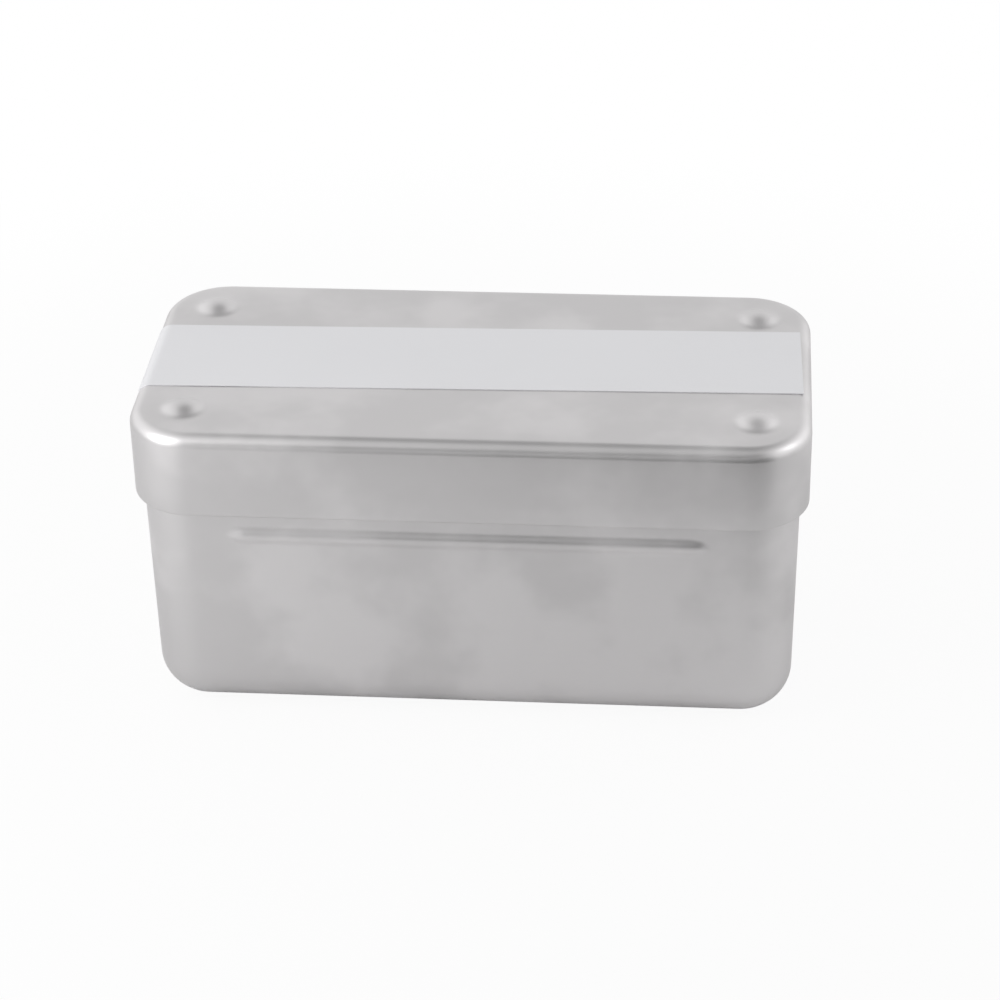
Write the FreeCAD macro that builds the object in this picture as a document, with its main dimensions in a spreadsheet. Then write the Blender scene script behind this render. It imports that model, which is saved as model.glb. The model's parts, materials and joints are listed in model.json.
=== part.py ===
import FreeCAD, Part
import math
import os
import Sketcher

# Endodontic file box: a deep-drawn aluminium box with a slip-on lid, and inside it a rack
# that holds root canal files upright in six coloured silicone strips.
# Frame: X along the box, Y towards its back, Z up, origin at the centre of the underside.
# Lengths are in millimetres and angles in degrees.

V = FreeCAD.Vector
OUT = "parts"
SLACK = 0.01
LEAST_CUT = 1e-6

SIZES = {
    "lid_length": (125.0, "lid outside, end to end"),
    "lid_width": (62.0, "lid outside, front to back"),
    "closed_height": (61.0, "underside of the box to the flat top of the lid"),
    "skirt_height": (16.5, "depth of the lid, outside"),
    "lid_corner_radius": (12.0, "upright corners of the lid, outside"),
    "lid_edge_radius": (2.5, "rounding between top and skirt, outside"),
    "sheet": (1.0, "thickness of the drawn aluminium"),
    "lid_clearance": (0.5, "play between skirt and box wall, each side"),
    "lid_seat_gap": (0.4, "lid's inner face above the rim of the box"),
    "pip_ball_radius": (4.2, "ball that the four raised pips are pressed with"),
    "pip_height": (1.3, "pips above the flat top"),
    "pip_end_inset": (10.0, "centre of a pip from the end of the lid"),
    "pip_side_inset": (11.0, "centre of a pip from the side of the lid"),
    "wall_draft": (0.7, "taper of the drawn walls of the box"),
    "base_radius": (8.5, "rounding between walls and base, outside"),
    "bead_length": (89.0, "stiffening bead on each long wall"),
    "bead_ball_radius": (2.6, "roundness of the bead, outside"),
    "bead_depth": (0.5, "bead proud of the wall"),
    "bead_drop": (20.1, "centre of the bead below the rim"),
    "label_end_gap": (1.8, "bare foil band short of each end of the lid"),
    "label_width": (24.0, "width of the band"),
    "label_thickness": (0.15, "thickness of the band"),
    "label_corner_radius": (0.5, "corners of the band"),
    "label_turn": (1.3, "how far the band was stuck on askew"),
    "label_offset": (1.5, "centre of the band behind the lid's centre line"),
    "rack_plate_height": (42.0, "top of the rack plate above the floor of the box"),
    "guide_plate_height": (19.0, "top of the guide plate above the floor of the box"),
    "plate_thickness": (1.5, "rack plate and guide plate"),
    "rack_clearance": (0.4, "rack plate to the wall of the box, each side"),
    "guide_inset": (4.5, "guide plate short of the rack plate, each side"),
    "end_bay": (21.0, "plate left free at each end for a handle"),
    "strip_width": (8.5, "silicone strip, upper flange"),
    "strip_slot_width": (6.4, "slot that the neck of a strip is pressed into"),
    "strip_lip_width": (7.7, "silicone strip, lip under the plate"),
    "strip_flange": (2.0, "strip above the plate"),
    "strip_lip": (1.5, "strip below the plate"),
    "strip_margin": (3.0, "strip to the edge of the rack plate"),
    "file_hole_radius": (1.0, "hole for a file"),
    "file_end_margin": (4.2, "last hole to the end of its strip"),
    "guide_slot_width": (3.0, "slot in the guide plate under a row of files"),
    "drain_slot_width": (2.4, "drain and steam slots between the strips"),
    "drain_slot_length": (38.0, "drain and steam slots, end to end"),
    "post_radius": (2.5, "spacer posts and legs of the rack"),
    "thread_radius": (1.5, "screws and studs that hold the rack together"),
    "screw_head_radius": (2.8, "countersunk heads"),
    "screw_reach": (7.0, "screw below the rack plate"),
    "stud_reach": (6.0, "stud of a leg above the guide plate"),
    "foot_radius": (3.2, "silicone foot, outside"),
    "foot_sole": (1.0, "silicone under a leg"),
    "foot_height": (4.0, "silicone foot, overall"),
    "foot_clearance": (0.3, "foot to where the floor starts to curve up"),
    "fit_gap": (0.05, "play of a shank in its hole"),
    "wire_radius": (1.0, "handle wire"),
    "handle_reach": (12.5, "handle from its pivot to its outer bar"),
    "handle_half_width": (11.5, "handle from the centre line to its side wire"),
    "handle_bend_radius": (3.5, "outer bends of a handle"),
    "pin_bend_radius": (1.5, "bends beside the pivot pins"),
    "pin_half_gap": (7.6, "ends of the pivot pins from the centre line"),
    "handle_end_gap": (1.3, "outer bar inside the end of the plate"),
    "handle_rest_gap": (0.1, "outer bar above the plate when folded"),
    "pivot_gap": (0.2, "pivot pin above the foot of its bracket"),
    "bracket_sheet": (1.0, "thickness of a handle bracket"),
    "bracket_half_width": (3.0, "half the length of a bracket along the box"),
    "bracket_ear_radius": (2.2, "ear above the pivot's centre"),
    "bracket_ear_round": (2.0, "upper corners of an ear"),
    "bracket_ear_place": (9.4, "outer face of an ear from the centre line"),
    "bracket_foot": (6.0, "bracket from its ear's outer face towards the centre"),
    "rivet_radius": (0.8, "rivet shank"),
    "rivet_head_radius": (1.5, "rivet heads"),
    "rivet_head_height": (0.6, "rivet heads"),
}
STRIP_COLOURS = ["white", "yellow", "red", "blue", "green", "black"]
HOLES_PER_STRIP = 6

# Values that follow from the driving ones, as expressions on the sheet.
BODY_LENGTH = "(Sizes.lid_length - 2 * (Sizes.sheet + Sizes.lid_clearance))"
BODY_WIDTH = "(Sizes.lid_width - 2 * (Sizes.sheet + Sizes.lid_clearance))"
BODY_CORNER = "(Sizes.lid_corner_radius - Sizes.sheet - Sizes.lid_clearance)"
RIM = "(Sizes.closed_height - Sizes.sheet - Sizes.lid_seat_gap)"
LID_BOTTOM = "(Sizes.closed_height - Sizes.skirt_height)"
LEAN = "tan(Sizes.wall_draft)"
BEAD_Z = f"({RIM} - Sizes.bead_drop)"
BEAD_AXIS = f"({BODY_WIDTH} / 2 - Sizes.bead_drop * {LEAN} - Sizes.bead_ball_radius + Sizes.bead_depth)"
PIP_X = "(Sizes.lid_length / 2 - Sizes.pip_end_inset)"
PIP_Y = "(Sizes.lid_width / 2 - Sizes.pip_side_inset)"
PIP_Z = "(Sizes.closed_height + Sizes.pip_height - Sizes.pip_ball_radius)"
LABEL_LENGTH = "(Sizes.lid_length - 2 * Sizes.label_end_gap)"
PLATE_TOP = "(Sizes.sheet + Sizes.rack_plate_height)"
PLATE_UNDER = f"({PLATE_TOP} - Sizes.plate_thickness)"
PLATE_LOSS = f"2 * (Sizes.sheet + Sizes.rack_clearance + ({RIM} - {PLATE_UNDER}) * {LEAN})"
PLATE_LENGTH = f"({BODY_LENGTH} - {PLATE_LOSS})"
PLATE_WIDTH = f"({BODY_WIDTH} - {PLATE_LOSS})"
PLATE_CORNER = f"({BODY_CORNER} - Sizes.sheet - Sizes.rack_clearance)"
GUIDE_TOP = "(Sizes.sheet + Sizes.guide_plate_height)"
GUIDE_UNDER = f"({GUIDE_TOP} - Sizes.plate_thickness)"
GUIDE_CORNER = f"({PLATE_CORNER} - Sizes.guide_inset)"
STRIP_PITCH = f"(({PLATE_LENGTH} - 2 * Sizes.end_bay) / {len(STRIP_COLOURS)})"
STRIP_LENGTH = f"({PLATE_WIDTH} - 2 * Sizes.strip_margin)"
FIRST_STRIP = f"({STRIP_PITCH} * {(len(STRIP_COLOURS) - 1) / 2})"
HOLE_SPAN = f"({STRIP_LENGTH} - 2 * Sizes.file_end_margin)"
FLOOR_LOSS = f"(2 * ({RIM} * {LEAN} + Sizes.base_radius + Sizes.foot_radius + Sizes.foot_clearance))"
POST_X = f"(({BODY_LENGTH} - {FLOOR_LOSS}) / 2)"
POST_Y = f"(({BODY_WIDTH} - {FLOOR_LOSS}) / 2)"
LEG_END = "(Sizes.sheet + Sizes.foot_sole)"
PIVOT_X = (f"({PLATE_LENGTH} / 2 - Sizes.handle_end_gap - Sizes.wire_radius"
           " - Sizes.handle_reach)")
PIVOT_HEIGHT = "(Sizes.bracket_sheet + Sizes.pivot_gap + Sizes.wire_radius)"
PIVOT_Z = f"({PLATE_TOP} + {PIVOT_HEIGHT})"
REST_TILT = (f"asin(({PIVOT_HEIGHT} - Sizes.wire_radius - Sizes.handle_rest_gap)"
             " / Sizes.handle_reach)")
RIVET_Y = "(Sizes.bracket_ear_place - Sizes.bracket_foot / 2 - Sizes.bracket_sheet / 2)"

doc = FreeCAD.newDocument("file_box")
sheet = doc.addObject("Spreadsheet::Sheet", "Sizes")
for row, (name, (value, note)) in enumerate(SIZES.items(), 1):
    sheet.set(f"A{row}", name)
    sheet.set(f"B{row}", str(value))
    sheet.set(f"C{row}", note)
    sheet.setAlias(f"B{row}", name)
doc.recompute()


def number(expression):
    """The value of an expression on the sheet now."""
    return float(sheet.evalExpression(expression.replace("Sizes.", "")))


def origin_part(body, role):
    """One of a body's own origin planes or axes."""
    return next(item for item in body.Origin.OriginFeatures if item.Role == role)


def new_body(label, x="0", y="0", z="0", turn=0.0):
    """An empty body, placed by expressions and turned about Z by whole degrees."""
    body = doc.addObject("PartDesign::Body", label)
    body.Label = label
    body.AllowCompound = True
    body.Placement = FreeCAD.Placement(V(), FreeCAD.Rotation(V(0, 0, 1), turn))
    for axis, place in (("x", x), ("y", y), ("z", z)):
        body.setExpression(f"Placement.Base.{axis}", place)
    return body


def new_sketch(body, name, role="XY_Plane", right="0", up="0", out="0", turn=0.0):
    """A sketch on an origin plane, shifted by expressions and turned in its plane."""
    sketch = body.newObject("Sketcher::SketchObject", name)
    sketch.AttachmentSupport = [(origin_part(body, role), "")]
    sketch.MapMode = "FlatFace"
    sketch.AttachmentOffset = FreeCAD.Placement(V(), FreeCAD.Rotation(V(0, 0, 1), turn))
    for axis, place in (("x", right), ("y", up), ("z", out)):
        sketch.setExpression(f"AttachmentOffset.Base.{axis}", place)
    return sketch


def size(sketch, value, *constraint):
    """A dimension of a sketch, bound to an expression."""
    index = sketch.addConstraint(Sketcher.Constraint(*constraint, number(value)))
    sketch.setExpression(f"Constraints[{index}]", value)


def pin(sketch, geometry, point, x, y):
    """Holds a point of a sketch at two expressions measured from its origin."""
    for kind, axis, value in (("DistanceX", -2, x), ("DistanceY", -1, y)):
        if value == "0":
            sketch.addConstraint(Sketcher.Constraint("PointOnObject", geometry, point, axis))
        else:
            size(sketch, value, kind, -1, 1, geometry, point)


def polygon(sketch, corners):
    """A closed outline of straight lines through corners given as expressions."""
    points = [V(number(x), number(y), 0) for x, y in corners]
    count = len(points)
    for index, point in enumerate(points):
        sketch.addGeometry(Part.LineSegment(point, points[(index + 1) % count]), False)
    for index, (x, y) in enumerate(corners):
        sketch.addConstraint(Sketcher.Constraint("Coincident", index, 2, (index + 1) % count, 1))
        pin(sketch, index, 1, x, y)


def add_arc(sketch, centre, radius, start, end):
    """A circular arc between two angles in degrees, counted anticlockwise."""
    whole = Part.Circle(centre, V(0, 0, 1), radius)
    sketch.addGeometry(Part.ArcOfCircle(whole, math.radians(start), math.radians(end)), False)


def rounded_rectangle(sketch, length, width, radius):
    """A rectangle with round corners, centred on the sketch's origin."""
    a, b, r = number(length) / 2, number(width) / 2, number(radius)
    ends = [(V(r - a, -b), V(a - r, -b)), (V(a, r - b), V(a, b - r)),
            (V(a - r, b), V(r - a, b)), (V(-a, b - r), V(-a, r - b))]
    for start, end in ends:
        sketch.addGeometry(Part.LineSegment(start, end), False)
    centres = [V(a - r, r - b), V(a - r, b - r), V(r - a, b - r), V(r - a, r - b)]
    for quarter, centre in enumerate(centres):
        add_arc(sketch, centre, r, 90 * quarter - 90, 90 * quarter)
    for side in range(4):
        corner = 4 + side
        sketch.addConstraint(Sketcher.Constraint("Tangent", side, 2, corner, 1))
        sketch.addConstraint(Sketcher.Constraint("Tangent", corner, 2, (side + 1) % 4, 1))
        sketch.addConstraint(Sketcher.Constraint("Vertical" if side % 2 else "Horizontal", side))
    for corner in (5, 6, 7):
        sketch.addConstraint(Sketcher.Constraint("Equal", 4, corner))
    sketch.addConstraint(Sketcher.Constraint("Symmetric", 0, 1, 2, 1, -1, 1))
    size(sketch, length, "DistanceX", 3, 1, 1, 1)
    size(sketch, width, "DistanceY", 0, 1, 2, 1)
    size(sketch, radius, "Radius", 4)


def rectangle(sketch, width, length):
    """A rectangle centred on the sketch's origin."""
    right, up = f"({width} / 2)", f"({length} / 2)"
    polygon(sketch, [(f"(-{right})", f"(-{up})"), (right, f"(-{up})"), (right, up), (f"(-{right})", up)])


def upright_slot(sketch, width, length):
    """A slot with round ends that runs along the sketch's vertical axis."""
    r, reach = number(width) / 2, (number(length) - number(width)) / 2
    sketch.addGeometry(Part.LineSegment(V(r, -reach), V(r, reach)), False)
    sketch.addGeometry(Part.LineSegment(V(-r, reach), V(-r, -reach)), False)
    add_arc(sketch, V(0, reach), r, 0, 180)
    add_arc(sketch, V(0, -reach), r, 180, 360)
    for first, second in ((0, 2), (2, 1), (1, 3), (3, 0)):
        sketch.addConstraint(Sketcher.Constraint("Tangent", first, 2, second, 1))
    half = f"(({length} - {width}) / 2)"
    pin(sketch, 2, 3, "0", half)
    pin(sketch, 3, 3, "0", f"(-{half})")
    size(sketch, f"({width} / 2)", "Radius", 2)


def circle(sketch, radius):
    """A circle round the sketch's origin."""
    index = sketch.addGeometry(Part.Circle(V(), V(0, 0, 1), number(radius)), False)
    pin(sketch, index, 3, "0", "0")
    size(sketch, radius, "Radius", index)


def pad(body, name, sketch, length, down=False, draft=None, both_ways=False):
    """Material added straight out of a sketch."""
    feature = body.newObject("PartDesign::Pad", name)
    feature.Profile = sketch
    feature.Reversed = down
    feature.Midplane = both_ways
    feature.setExpression("Length", length)
    if draft:
        feature.setExpression("TaperAngle", draft)
    doc.recompute()
    return feature


def pocket(body, name, sketch, depth, down=True, draft=None):
    """Material cut away straight out of a sketch, which has to take something."""
    before = body.Shape.Volume
    feature = body.newObject("PartDesign::Pocket", name)
    feature.Profile = sketch
    feature.Reversed = not down
    feature.setExpression("Length", depth)
    if draft:
        feature.setExpression("TaperAngle", draft)
    doc.recompute()
    if feature.Shape.Volume > before - LEAST_CUT:
        raise ValueError(f"{name} cuts nothing")
    return feature


def turned(body, name, sketch, cut=False):
    """A full turn of a sketch about its own vertical axis, added or cut away."""
    before = body.Shape.Volume if cut else 0.0
    feature = body.newObject("PartDesign::Groove" if cut else "PartDesign::Revolution", name)
    feature.Profile = sketch
    feature.ReferenceAxis = (sketch, ["V_Axis"])
    feature.Angle = 360.0
    doc.recompute()
    if cut and feature.Shape.Volume > before - LEAST_CUT:
        raise ValueError(f"{name} cuts nothing")
    return feature


def lies_at(edge, height):
    """Whether an edge lies flat at a height."""
    box = edge.BoundBox
    return abs(box.ZMin - height) < SLACK and abs(box.ZMax - height) < SLACK


def round_edges(body, name, radius, wanted):
    """A fillet on the edges of the body that pass a test."""
    base = body.Tip
    edges = [f"Edge{index}" for index, edge in enumerate(base.Shape.Edges, 1) if wanted(edge)]
    feature = body.newObject("PartDesign::Fillet", name)
    feature.Base = (base, edges)
    feature.setExpression("Radius", radius)
    doc.recompute()
    return feature


def row_of(body, name, features, axis, length, count):
    """Features repeated along an axis over an overall length."""
    pattern = body.newObject("PartDesign::LinearPattern", name)
    pattern.Originals = features
    pattern.Direction = (origin_part(body, axis), [""])
    pattern.setExpression("Length", length)
    pattern.Occurrences = count
    body.Tip = pattern
    doc.recompute()
    return pattern


def four_of(body, name, features):
    """Features mirrored to all four corners."""
    pattern = body.newObject("PartDesign::MultiTransform", name)
    steps = []
    for role in ("YZ_Plane", "XZ_Plane"):
        step = body.newObject("PartDesign::Mirrored", f"{name}_{role[:2].lower()}")
        step.MirrorPlane = (origin_part(body, role), [""])
        steps.append(step)
    pattern.Originals = features
    pattern.Transformations = steps
    body.Tip = pattern
    doc.recompute()
    return pattern


def both_sides(body, name, features):
    """Features mirrored from the front wall to the back wall."""
    mirror = body.newObject("PartDesign::Mirrored", name)
    mirror.Originals = features
    mirror.MirrorPlane = (origin_part(body, "XZ_Plane"), [""])
    body.Tip = mirror
    doc.recompute()
    return mirror


def capsule_outline(sketch, length, radius):
    """Half of a round-ended rod, drawn beside the sketch's vertical axis."""
    r, reach = number(radius), number(length) / 2 - number(radius)
    sketch.addGeometry(Part.LineSegment(V(0, -reach - r), V(0, reach + r)), False)
    sketch.addGeometry(Part.LineSegment(V(r, -reach), V(r, reach)), False)
    add_arc(sketch, V(0, -reach), r, 270, 360)
    add_arc(sketch, V(0, reach), r, 0, 90)
    for first, end, second, start in ((0, 1, 2, 1), (3, 2, 0, 2)):
        sketch.addConstraint(Sketcher.Constraint("Coincident", first, end, second, start))
    for first, end, second, start in ((2, 2, 1, 1), (1, 2, 3, 1)):
        sketch.addConstraint(Sketcher.Constraint("Tangent", first, end, second, start))
    pin(sketch, 2, 3, "0", f"({radius} - {length} / 2)")
    pin(sketch, 3, 3, "0", f"({length} / 2 - {radius})")
    pin(sketch, 0, 1, "0", f"(-{length} / 2)")
    pin(sketch, 0, 2, "0", f"({length} / 2)")


def bead_rod(body, name, inset, cut):
    """The round-ended rod that forms one face of a bead on the front wall."""
    sketch = new_sketch(body, f"{name}_outline", up=f"(-{BEAD_AXIS})", out=BEAD_Z, turn=90.0)
    capsule_outline(sketch, f"(Sizes.bead_length - 2 * {inset})", f"(Sizes.bead_ball_radius - {inset})")
    return turned(body, name, sketch, cut)


def box_body():
    """The drawn box: tapered walls, a rounded base and a bead along each long wall."""
    body = new_body("box_body")
    outside = new_sketch(body, "rim_outline", out=RIM)
    rounded_rectangle(outside, BODY_LENGTH, BODY_WIDTH, BODY_CORNER)
    pad(body, "drawn_block", outside, RIM, down=True, draft="(-Sizes.wall_draft)")
    rod = bead_rod(body, "bead_outside", "0", False)
    both_sides(body, "bead_outside_pair", [rod])
    inside = new_sketch(body, "cavity_outline", out=RIM)
    rounded_rectangle(inside, f"({BODY_LENGTH} - 2 * Sizes.sheet)", f"({BODY_WIDTH} - 2 * Sizes.sheet)",
                      f"({BODY_CORNER} - Sizes.sheet)")
    pocket(body, "cavity", inside, f"({RIM} - Sizes.sheet)", draft="(-Sizes.wall_draft)")
    floor = number("Sizes.sheet")
    round_edges(body, "floor_rounding", "(Sizes.base_radius - Sizes.sheet)",
                lambda edge: lies_at(edge, floor))
    groove = bead_rod(body, "bead_inside", "Sizes.sheet", True)
    both_sides(body, "bead_inside_pair", [groove])
    round_edges(body, "base_rounding", "Sizes.base_radius", lambda edge: lies_at(edge, 0.0))


def lid():
    """The drawn lid: a deep skirt, a small edge radius and four raised pips."""
    body = new_body("lid", z=LID_BOTTOM)
    outside = new_sketch(body, "skirt_outline")
    rounded_rectangle(outside, "Sizes.lid_length", "Sizes.lid_width", "Sizes.lid_corner_radius")
    pad(body, "drawn_block", outside, "Sizes.skirt_height")
    top = number("Sizes.skirt_height")
    round_edges(body, "edge_rounding", "Sizes.lid_edge_radius", lambda edge: lies_at(edge, top))
    inside = new_sketch(body, "cavity_outline")
    rounded_rectangle(inside, "(Sizes.lid_length - 2 * Sizes.sheet)", "(Sizes.lid_width - 2 * Sizes.sheet)",
                      "(Sizes.lid_corner_radius - Sizes.sheet)")
    ball = pip_ball(body, "pip_outside", "PartDesign::AdditiveSphere", "Sizes.pip_ball_radius")
    four_of(body, "pips", [ball])
    pocket(body, "cavity", inside, "(Sizes.skirt_height - Sizes.sheet)", down=False)
    roof = number("Sizes.skirt_height - Sizes.sheet")
    round_edges(body, "inner_rounding", "(Sizes.lid_edge_radius - Sizes.sheet)",
                lambda edge: lies_at(edge, roof))
    hollow = pip_ball(body, "pip_inside", "PartDesign::SubtractiveSphere",
                      "(Sizes.pip_ball_radius - Sizes.sheet)")
    four_of(body, "pip_hollows", [hollow])


def pip_ball(body, name, kind, radius):
    """The ball behind the front left pip, seen from the lid's rim."""
    ball = body.newObject(kind, name)
    ball.AttachmentSupport = [(origin_part(body, "XY_Plane"), "")]
    ball.MapMode = "FlatFace"
    ball.setExpression("Radius", radius)
    ball.setExpression("AttachmentOffset.Base.x", f"(-{PIP_X})")
    ball.setExpression("AttachmentOffset.Base.y", f"(-{PIP_Y})")
    ball.setExpression("AttachmentOffset.Base.z", f"({PIP_Z} - {LID_BOTTOM})")
    doc.recompute()
    return ball


def lid_label():
    """A thin bare band stuck along the lid, slightly askew."""
    body = new_body("lid_label", y="Sizes.label_offset", z="Sizes.closed_height")
    body.setExpression("Placement.Rotation.Angle", "Sizes.label_turn")
    outline = new_sketch(body, "band_outline")
    rounded_rectangle(outline, LABEL_LENGTH, "Sizes.label_width", "Sizes.label_corner_radius")
    pad(body, "band", outline, "Sizes.label_thickness")


def countersink(sketch, head, shank, top, bottom):
    """Half of a countersunk screw or hole, beside the sketch's vertical axis."""
    polygon(sketch, [("0", bottom), (shank, bottom), (shank, f"({top} - ({head} - {shank}))"),
                     (head, top), ("0", top)])


def rack_plate():
    """The upper plate: slots for the strips, drain slots, screw holes and rivet holes."""
    body = new_body("rack_plate", z=PLATE_UNDER)
    outline = new_sketch(body, "plate_outline")
    rounded_rectangle(outline, PLATE_LENGTH, PLATE_WIDTH, PLATE_CORNER)
    pad(body, "plate", outline, "Sizes.plate_thickness")
    slot = new_sketch(body, "strip_slot_outline", right=f"(-{FIRST_STRIP})")
    rectangle(slot, "Sizes.strip_slot_width", STRIP_LENGTH)
    cut = pocket(body, "strip_slot", slot, "Sizes.plate_thickness", down=False)
    row_of(body, "strip_slots", [cut], "X_Axis", f"(2 * {FIRST_STRIP})", len(STRIP_COLOURS))
    drain = new_sketch(body, "drain_outline", right=f"({STRIP_PITCH} / 2 - {FIRST_STRIP})")
    upright_slot(drain, "Sizes.drain_slot_width", "Sizes.drain_slot_length")
    cut = pocket(body, "drain_slot", drain, "Sizes.plate_thickness", down=False)
    row_of(body, "drain_slots", [cut], "X_Axis", f"(2 * {FIRST_STRIP} - {STRIP_PITCH})",
           len(STRIP_COLOURS) - 1)
    screw = new_sketch(body, "screw_hole_outline", "XZ_Plane", right=POST_X, out=POST_Y)
    countersink(screw, "Sizes.screw_head_radius", "Sizes.thread_radius", "Sizes.plate_thickness", "0")
    cut = turned(body, "screw_hole", screw, cut=True)
    four_of(body, "screw_holes", [cut])
    rivet = new_sketch(body, "rivet_hole_outline", right=PIVOT_X, up=RIVET_Y)
    circle(rivet, "Sizes.rivet_radius")
    cut = pocket(body, "rivet_hole", rivet, "Sizes.plate_thickness", down=False)
    four_of(body, "rivet_holes", [cut])


def strip(colour, index):
    """One silicone strip: a flange above the plate, a neck in its slot and a lip below."""
    x = f"({STRIP_PITCH} * {index - (len(STRIP_COLOURS) - 1) / 2})"
    body = new_body(f"strip_{colour}", x=x, z=PLATE_TOP)
    profile = new_sketch(body, "profile", "XZ_Plane")
    flange = "(Sizes.strip_width / 2)"
    neck = "(Sizes.strip_slot_width / 2 - Sizes.fit_gap)"
    lip = "(Sizes.strip_lip_width / 2)"
    under = "(-Sizes.plate_thickness)"
    base = "(-Sizes.plate_thickness - Sizes.strip_lip)"
    half = [(lip, base), (lip, under), (neck, under), (neck, "0"), (flange, "0"),
            (flange, "Sizes.strip_flange")]
    polygon(profile, half + [(f"(-{across})", height) for across, height in reversed(half)])
    pad(body, "extrusion", profile, f"({STRIP_LENGTH} - 2 * Sizes.fit_gap)", both_ways=True)
    hole = new_sketch(body, "file_hole_outline", up=f"(-{HOLE_SPAN} / 2)", out=base)
    circle(hole, "Sizes.file_hole_radius")
    depth = "(Sizes.strip_flange + Sizes.plate_thickness + Sizes.strip_lip)"
    cut = pocket(body, "file_hole", hole, depth, down=False)
    row_of(body, "file_holes", [cut], "Y_Axis", HOLE_SPAN, HOLES_PER_STRIP)


def guide_plate():
    """The lower plate, with a guide slot under every row of files."""
    body = new_body("guide_plate", z=GUIDE_UNDER)
    outline = new_sketch(body, "plate_outline")
    rounded_rectangle(outline, f"({PLATE_LENGTH} - 2 * Sizes.guide_inset)",
                      f"({PLATE_WIDTH} - 2 * Sizes.guide_inset)", GUIDE_CORNER)
    pad(body, "plate", outline, "Sizes.plate_thickness")
    slot = new_sketch(body, "guide_slot_outline", right=f"(-{FIRST_STRIP})")
    upright_slot(slot, "Sizes.guide_slot_width", f"({HOLE_SPAN} + Sizes.guide_slot_width)")
    cut = pocket(body, "guide_slot", slot, "Sizes.plate_thickness", down=False)
    row_of(body, "guide_slots", [cut], "X_Axis", f"(2 * {FIRST_STRIP})", len(STRIP_COLOURS))
    stud = new_sketch(body, "stud_hole_outline", right=POST_X, up=POST_Y)
    circle(stud, "Sizes.thread_radius")
    cut = pocket(body, "stud_hole", stud, "Sizes.plate_thickness", down=False)
    four_of(body, "stud_holes", [cut])


def post(index, x_side, y_side):
    """A tapped spacer between the two plates."""
    x, y = f"({x_side} * {POST_X})", f"({y_side} * {POST_Y})"
    body = new_body(f"rack_post_{index}", x=x, y=y, z=GUIDE_TOP)
    ring = new_sketch(body, "ring")
    circle(ring, "Sizes.post_radius")
    circle(ring, "Sizes.thread_radius")
    pad(body, "tube", ring, f"({PLATE_UNDER} - {GUIDE_TOP})")


def leg(index, x_side, y_side):
    """A leg under the guide plate, with the stud that screws up into its post."""
    x, y = f"({x_side} * {POST_X})", f"({y_side} * {POST_Y})"
    body = new_body(f"rack_leg_{index}", x=x, y=y, z=LEG_END)
    outline = new_sketch(body, "leg_outline", "XZ_Plane")
    shoulder = f"({GUIDE_UNDER} - {LEG_END})"
    tip = f"({GUIDE_TOP} + Sizes.stud_reach - {LEG_END})"
    stud = "(Sizes.thread_radius - Sizes.fit_gap)"
    polygon(outline, [("0", "0"), ("Sizes.post_radius", "0"), ("Sizes.post_radius", shoulder),
                      (stud, shoulder), (stud, tip), ("0", tip)])
    turned(body, "turned_leg", outline)


def rack_feet():
    """Four silicone cups that the legs stand in."""
    body = new_body("rack_feet", z="Sizes.sheet")
    outline = new_sketch(body, "cup_outline", "XZ_Plane", right=POST_X, out=POST_Y)
    bore = "(Sizes.post_radius + Sizes.fit_gap)"
    polygon(outline, [("0", "0"), ("Sizes.foot_radius", "0"), ("Sizes.foot_radius", "Sizes.foot_height"),
                      (bore, "Sizes.foot_height"), (bore, "Sizes.foot_sole"), ("0", "Sizes.foot_sole")])
    four_of(body, "cups", [turned(body, "cup", outline)])


def rack_screws():
    """Four countersunk screws through the rack plate into the posts."""
    body = new_body("rack_screws", z=PLATE_TOP)
    outline = new_sketch(body, "screw_outline", "XZ_Plane", right=POST_X, out=POST_Y)
    head = "(Sizes.screw_head_radius - Sizes.fit_gap)"
    shank = "(Sizes.thread_radius - Sizes.fit_gap)"
    countersink(outline, head, shank, "0", "(-Sizes.plate_thickness - Sizes.screw_reach)")
    four_of(body, "screws", [turned(body, "screw", outline)])


def handle(side, turn):
    """A folding wire handle whose two turned-in ends are its pivot pins."""
    sign = "-" if turn else ""
    body = new_body(f"handle_{side}", x=f"({sign}{PIVOT_X})", z=PIVOT_Z, turn=turn)
    path = new_sketch(body, "wire_path")
    path.AttachmentOffset = FreeCAD.Placement(V(), FreeCAD.Rotation(V(0, 1, 0), number(REST_TILT)))
    path.setExpression("AttachmentOffset.Rotation.Angle", REST_TILT)
    wire_path(path)
    end = new_sketch(body, "wire_end", "XZ_Plane", out="Sizes.pin_half_gap")
    circle(end, "Sizes.wire_radius")
    pipe = body.newObject("PartDesign::AdditivePipe", "wire")
    pipe.Profile = end
    pipe.Spine = path
    doc.recompute()


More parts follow.
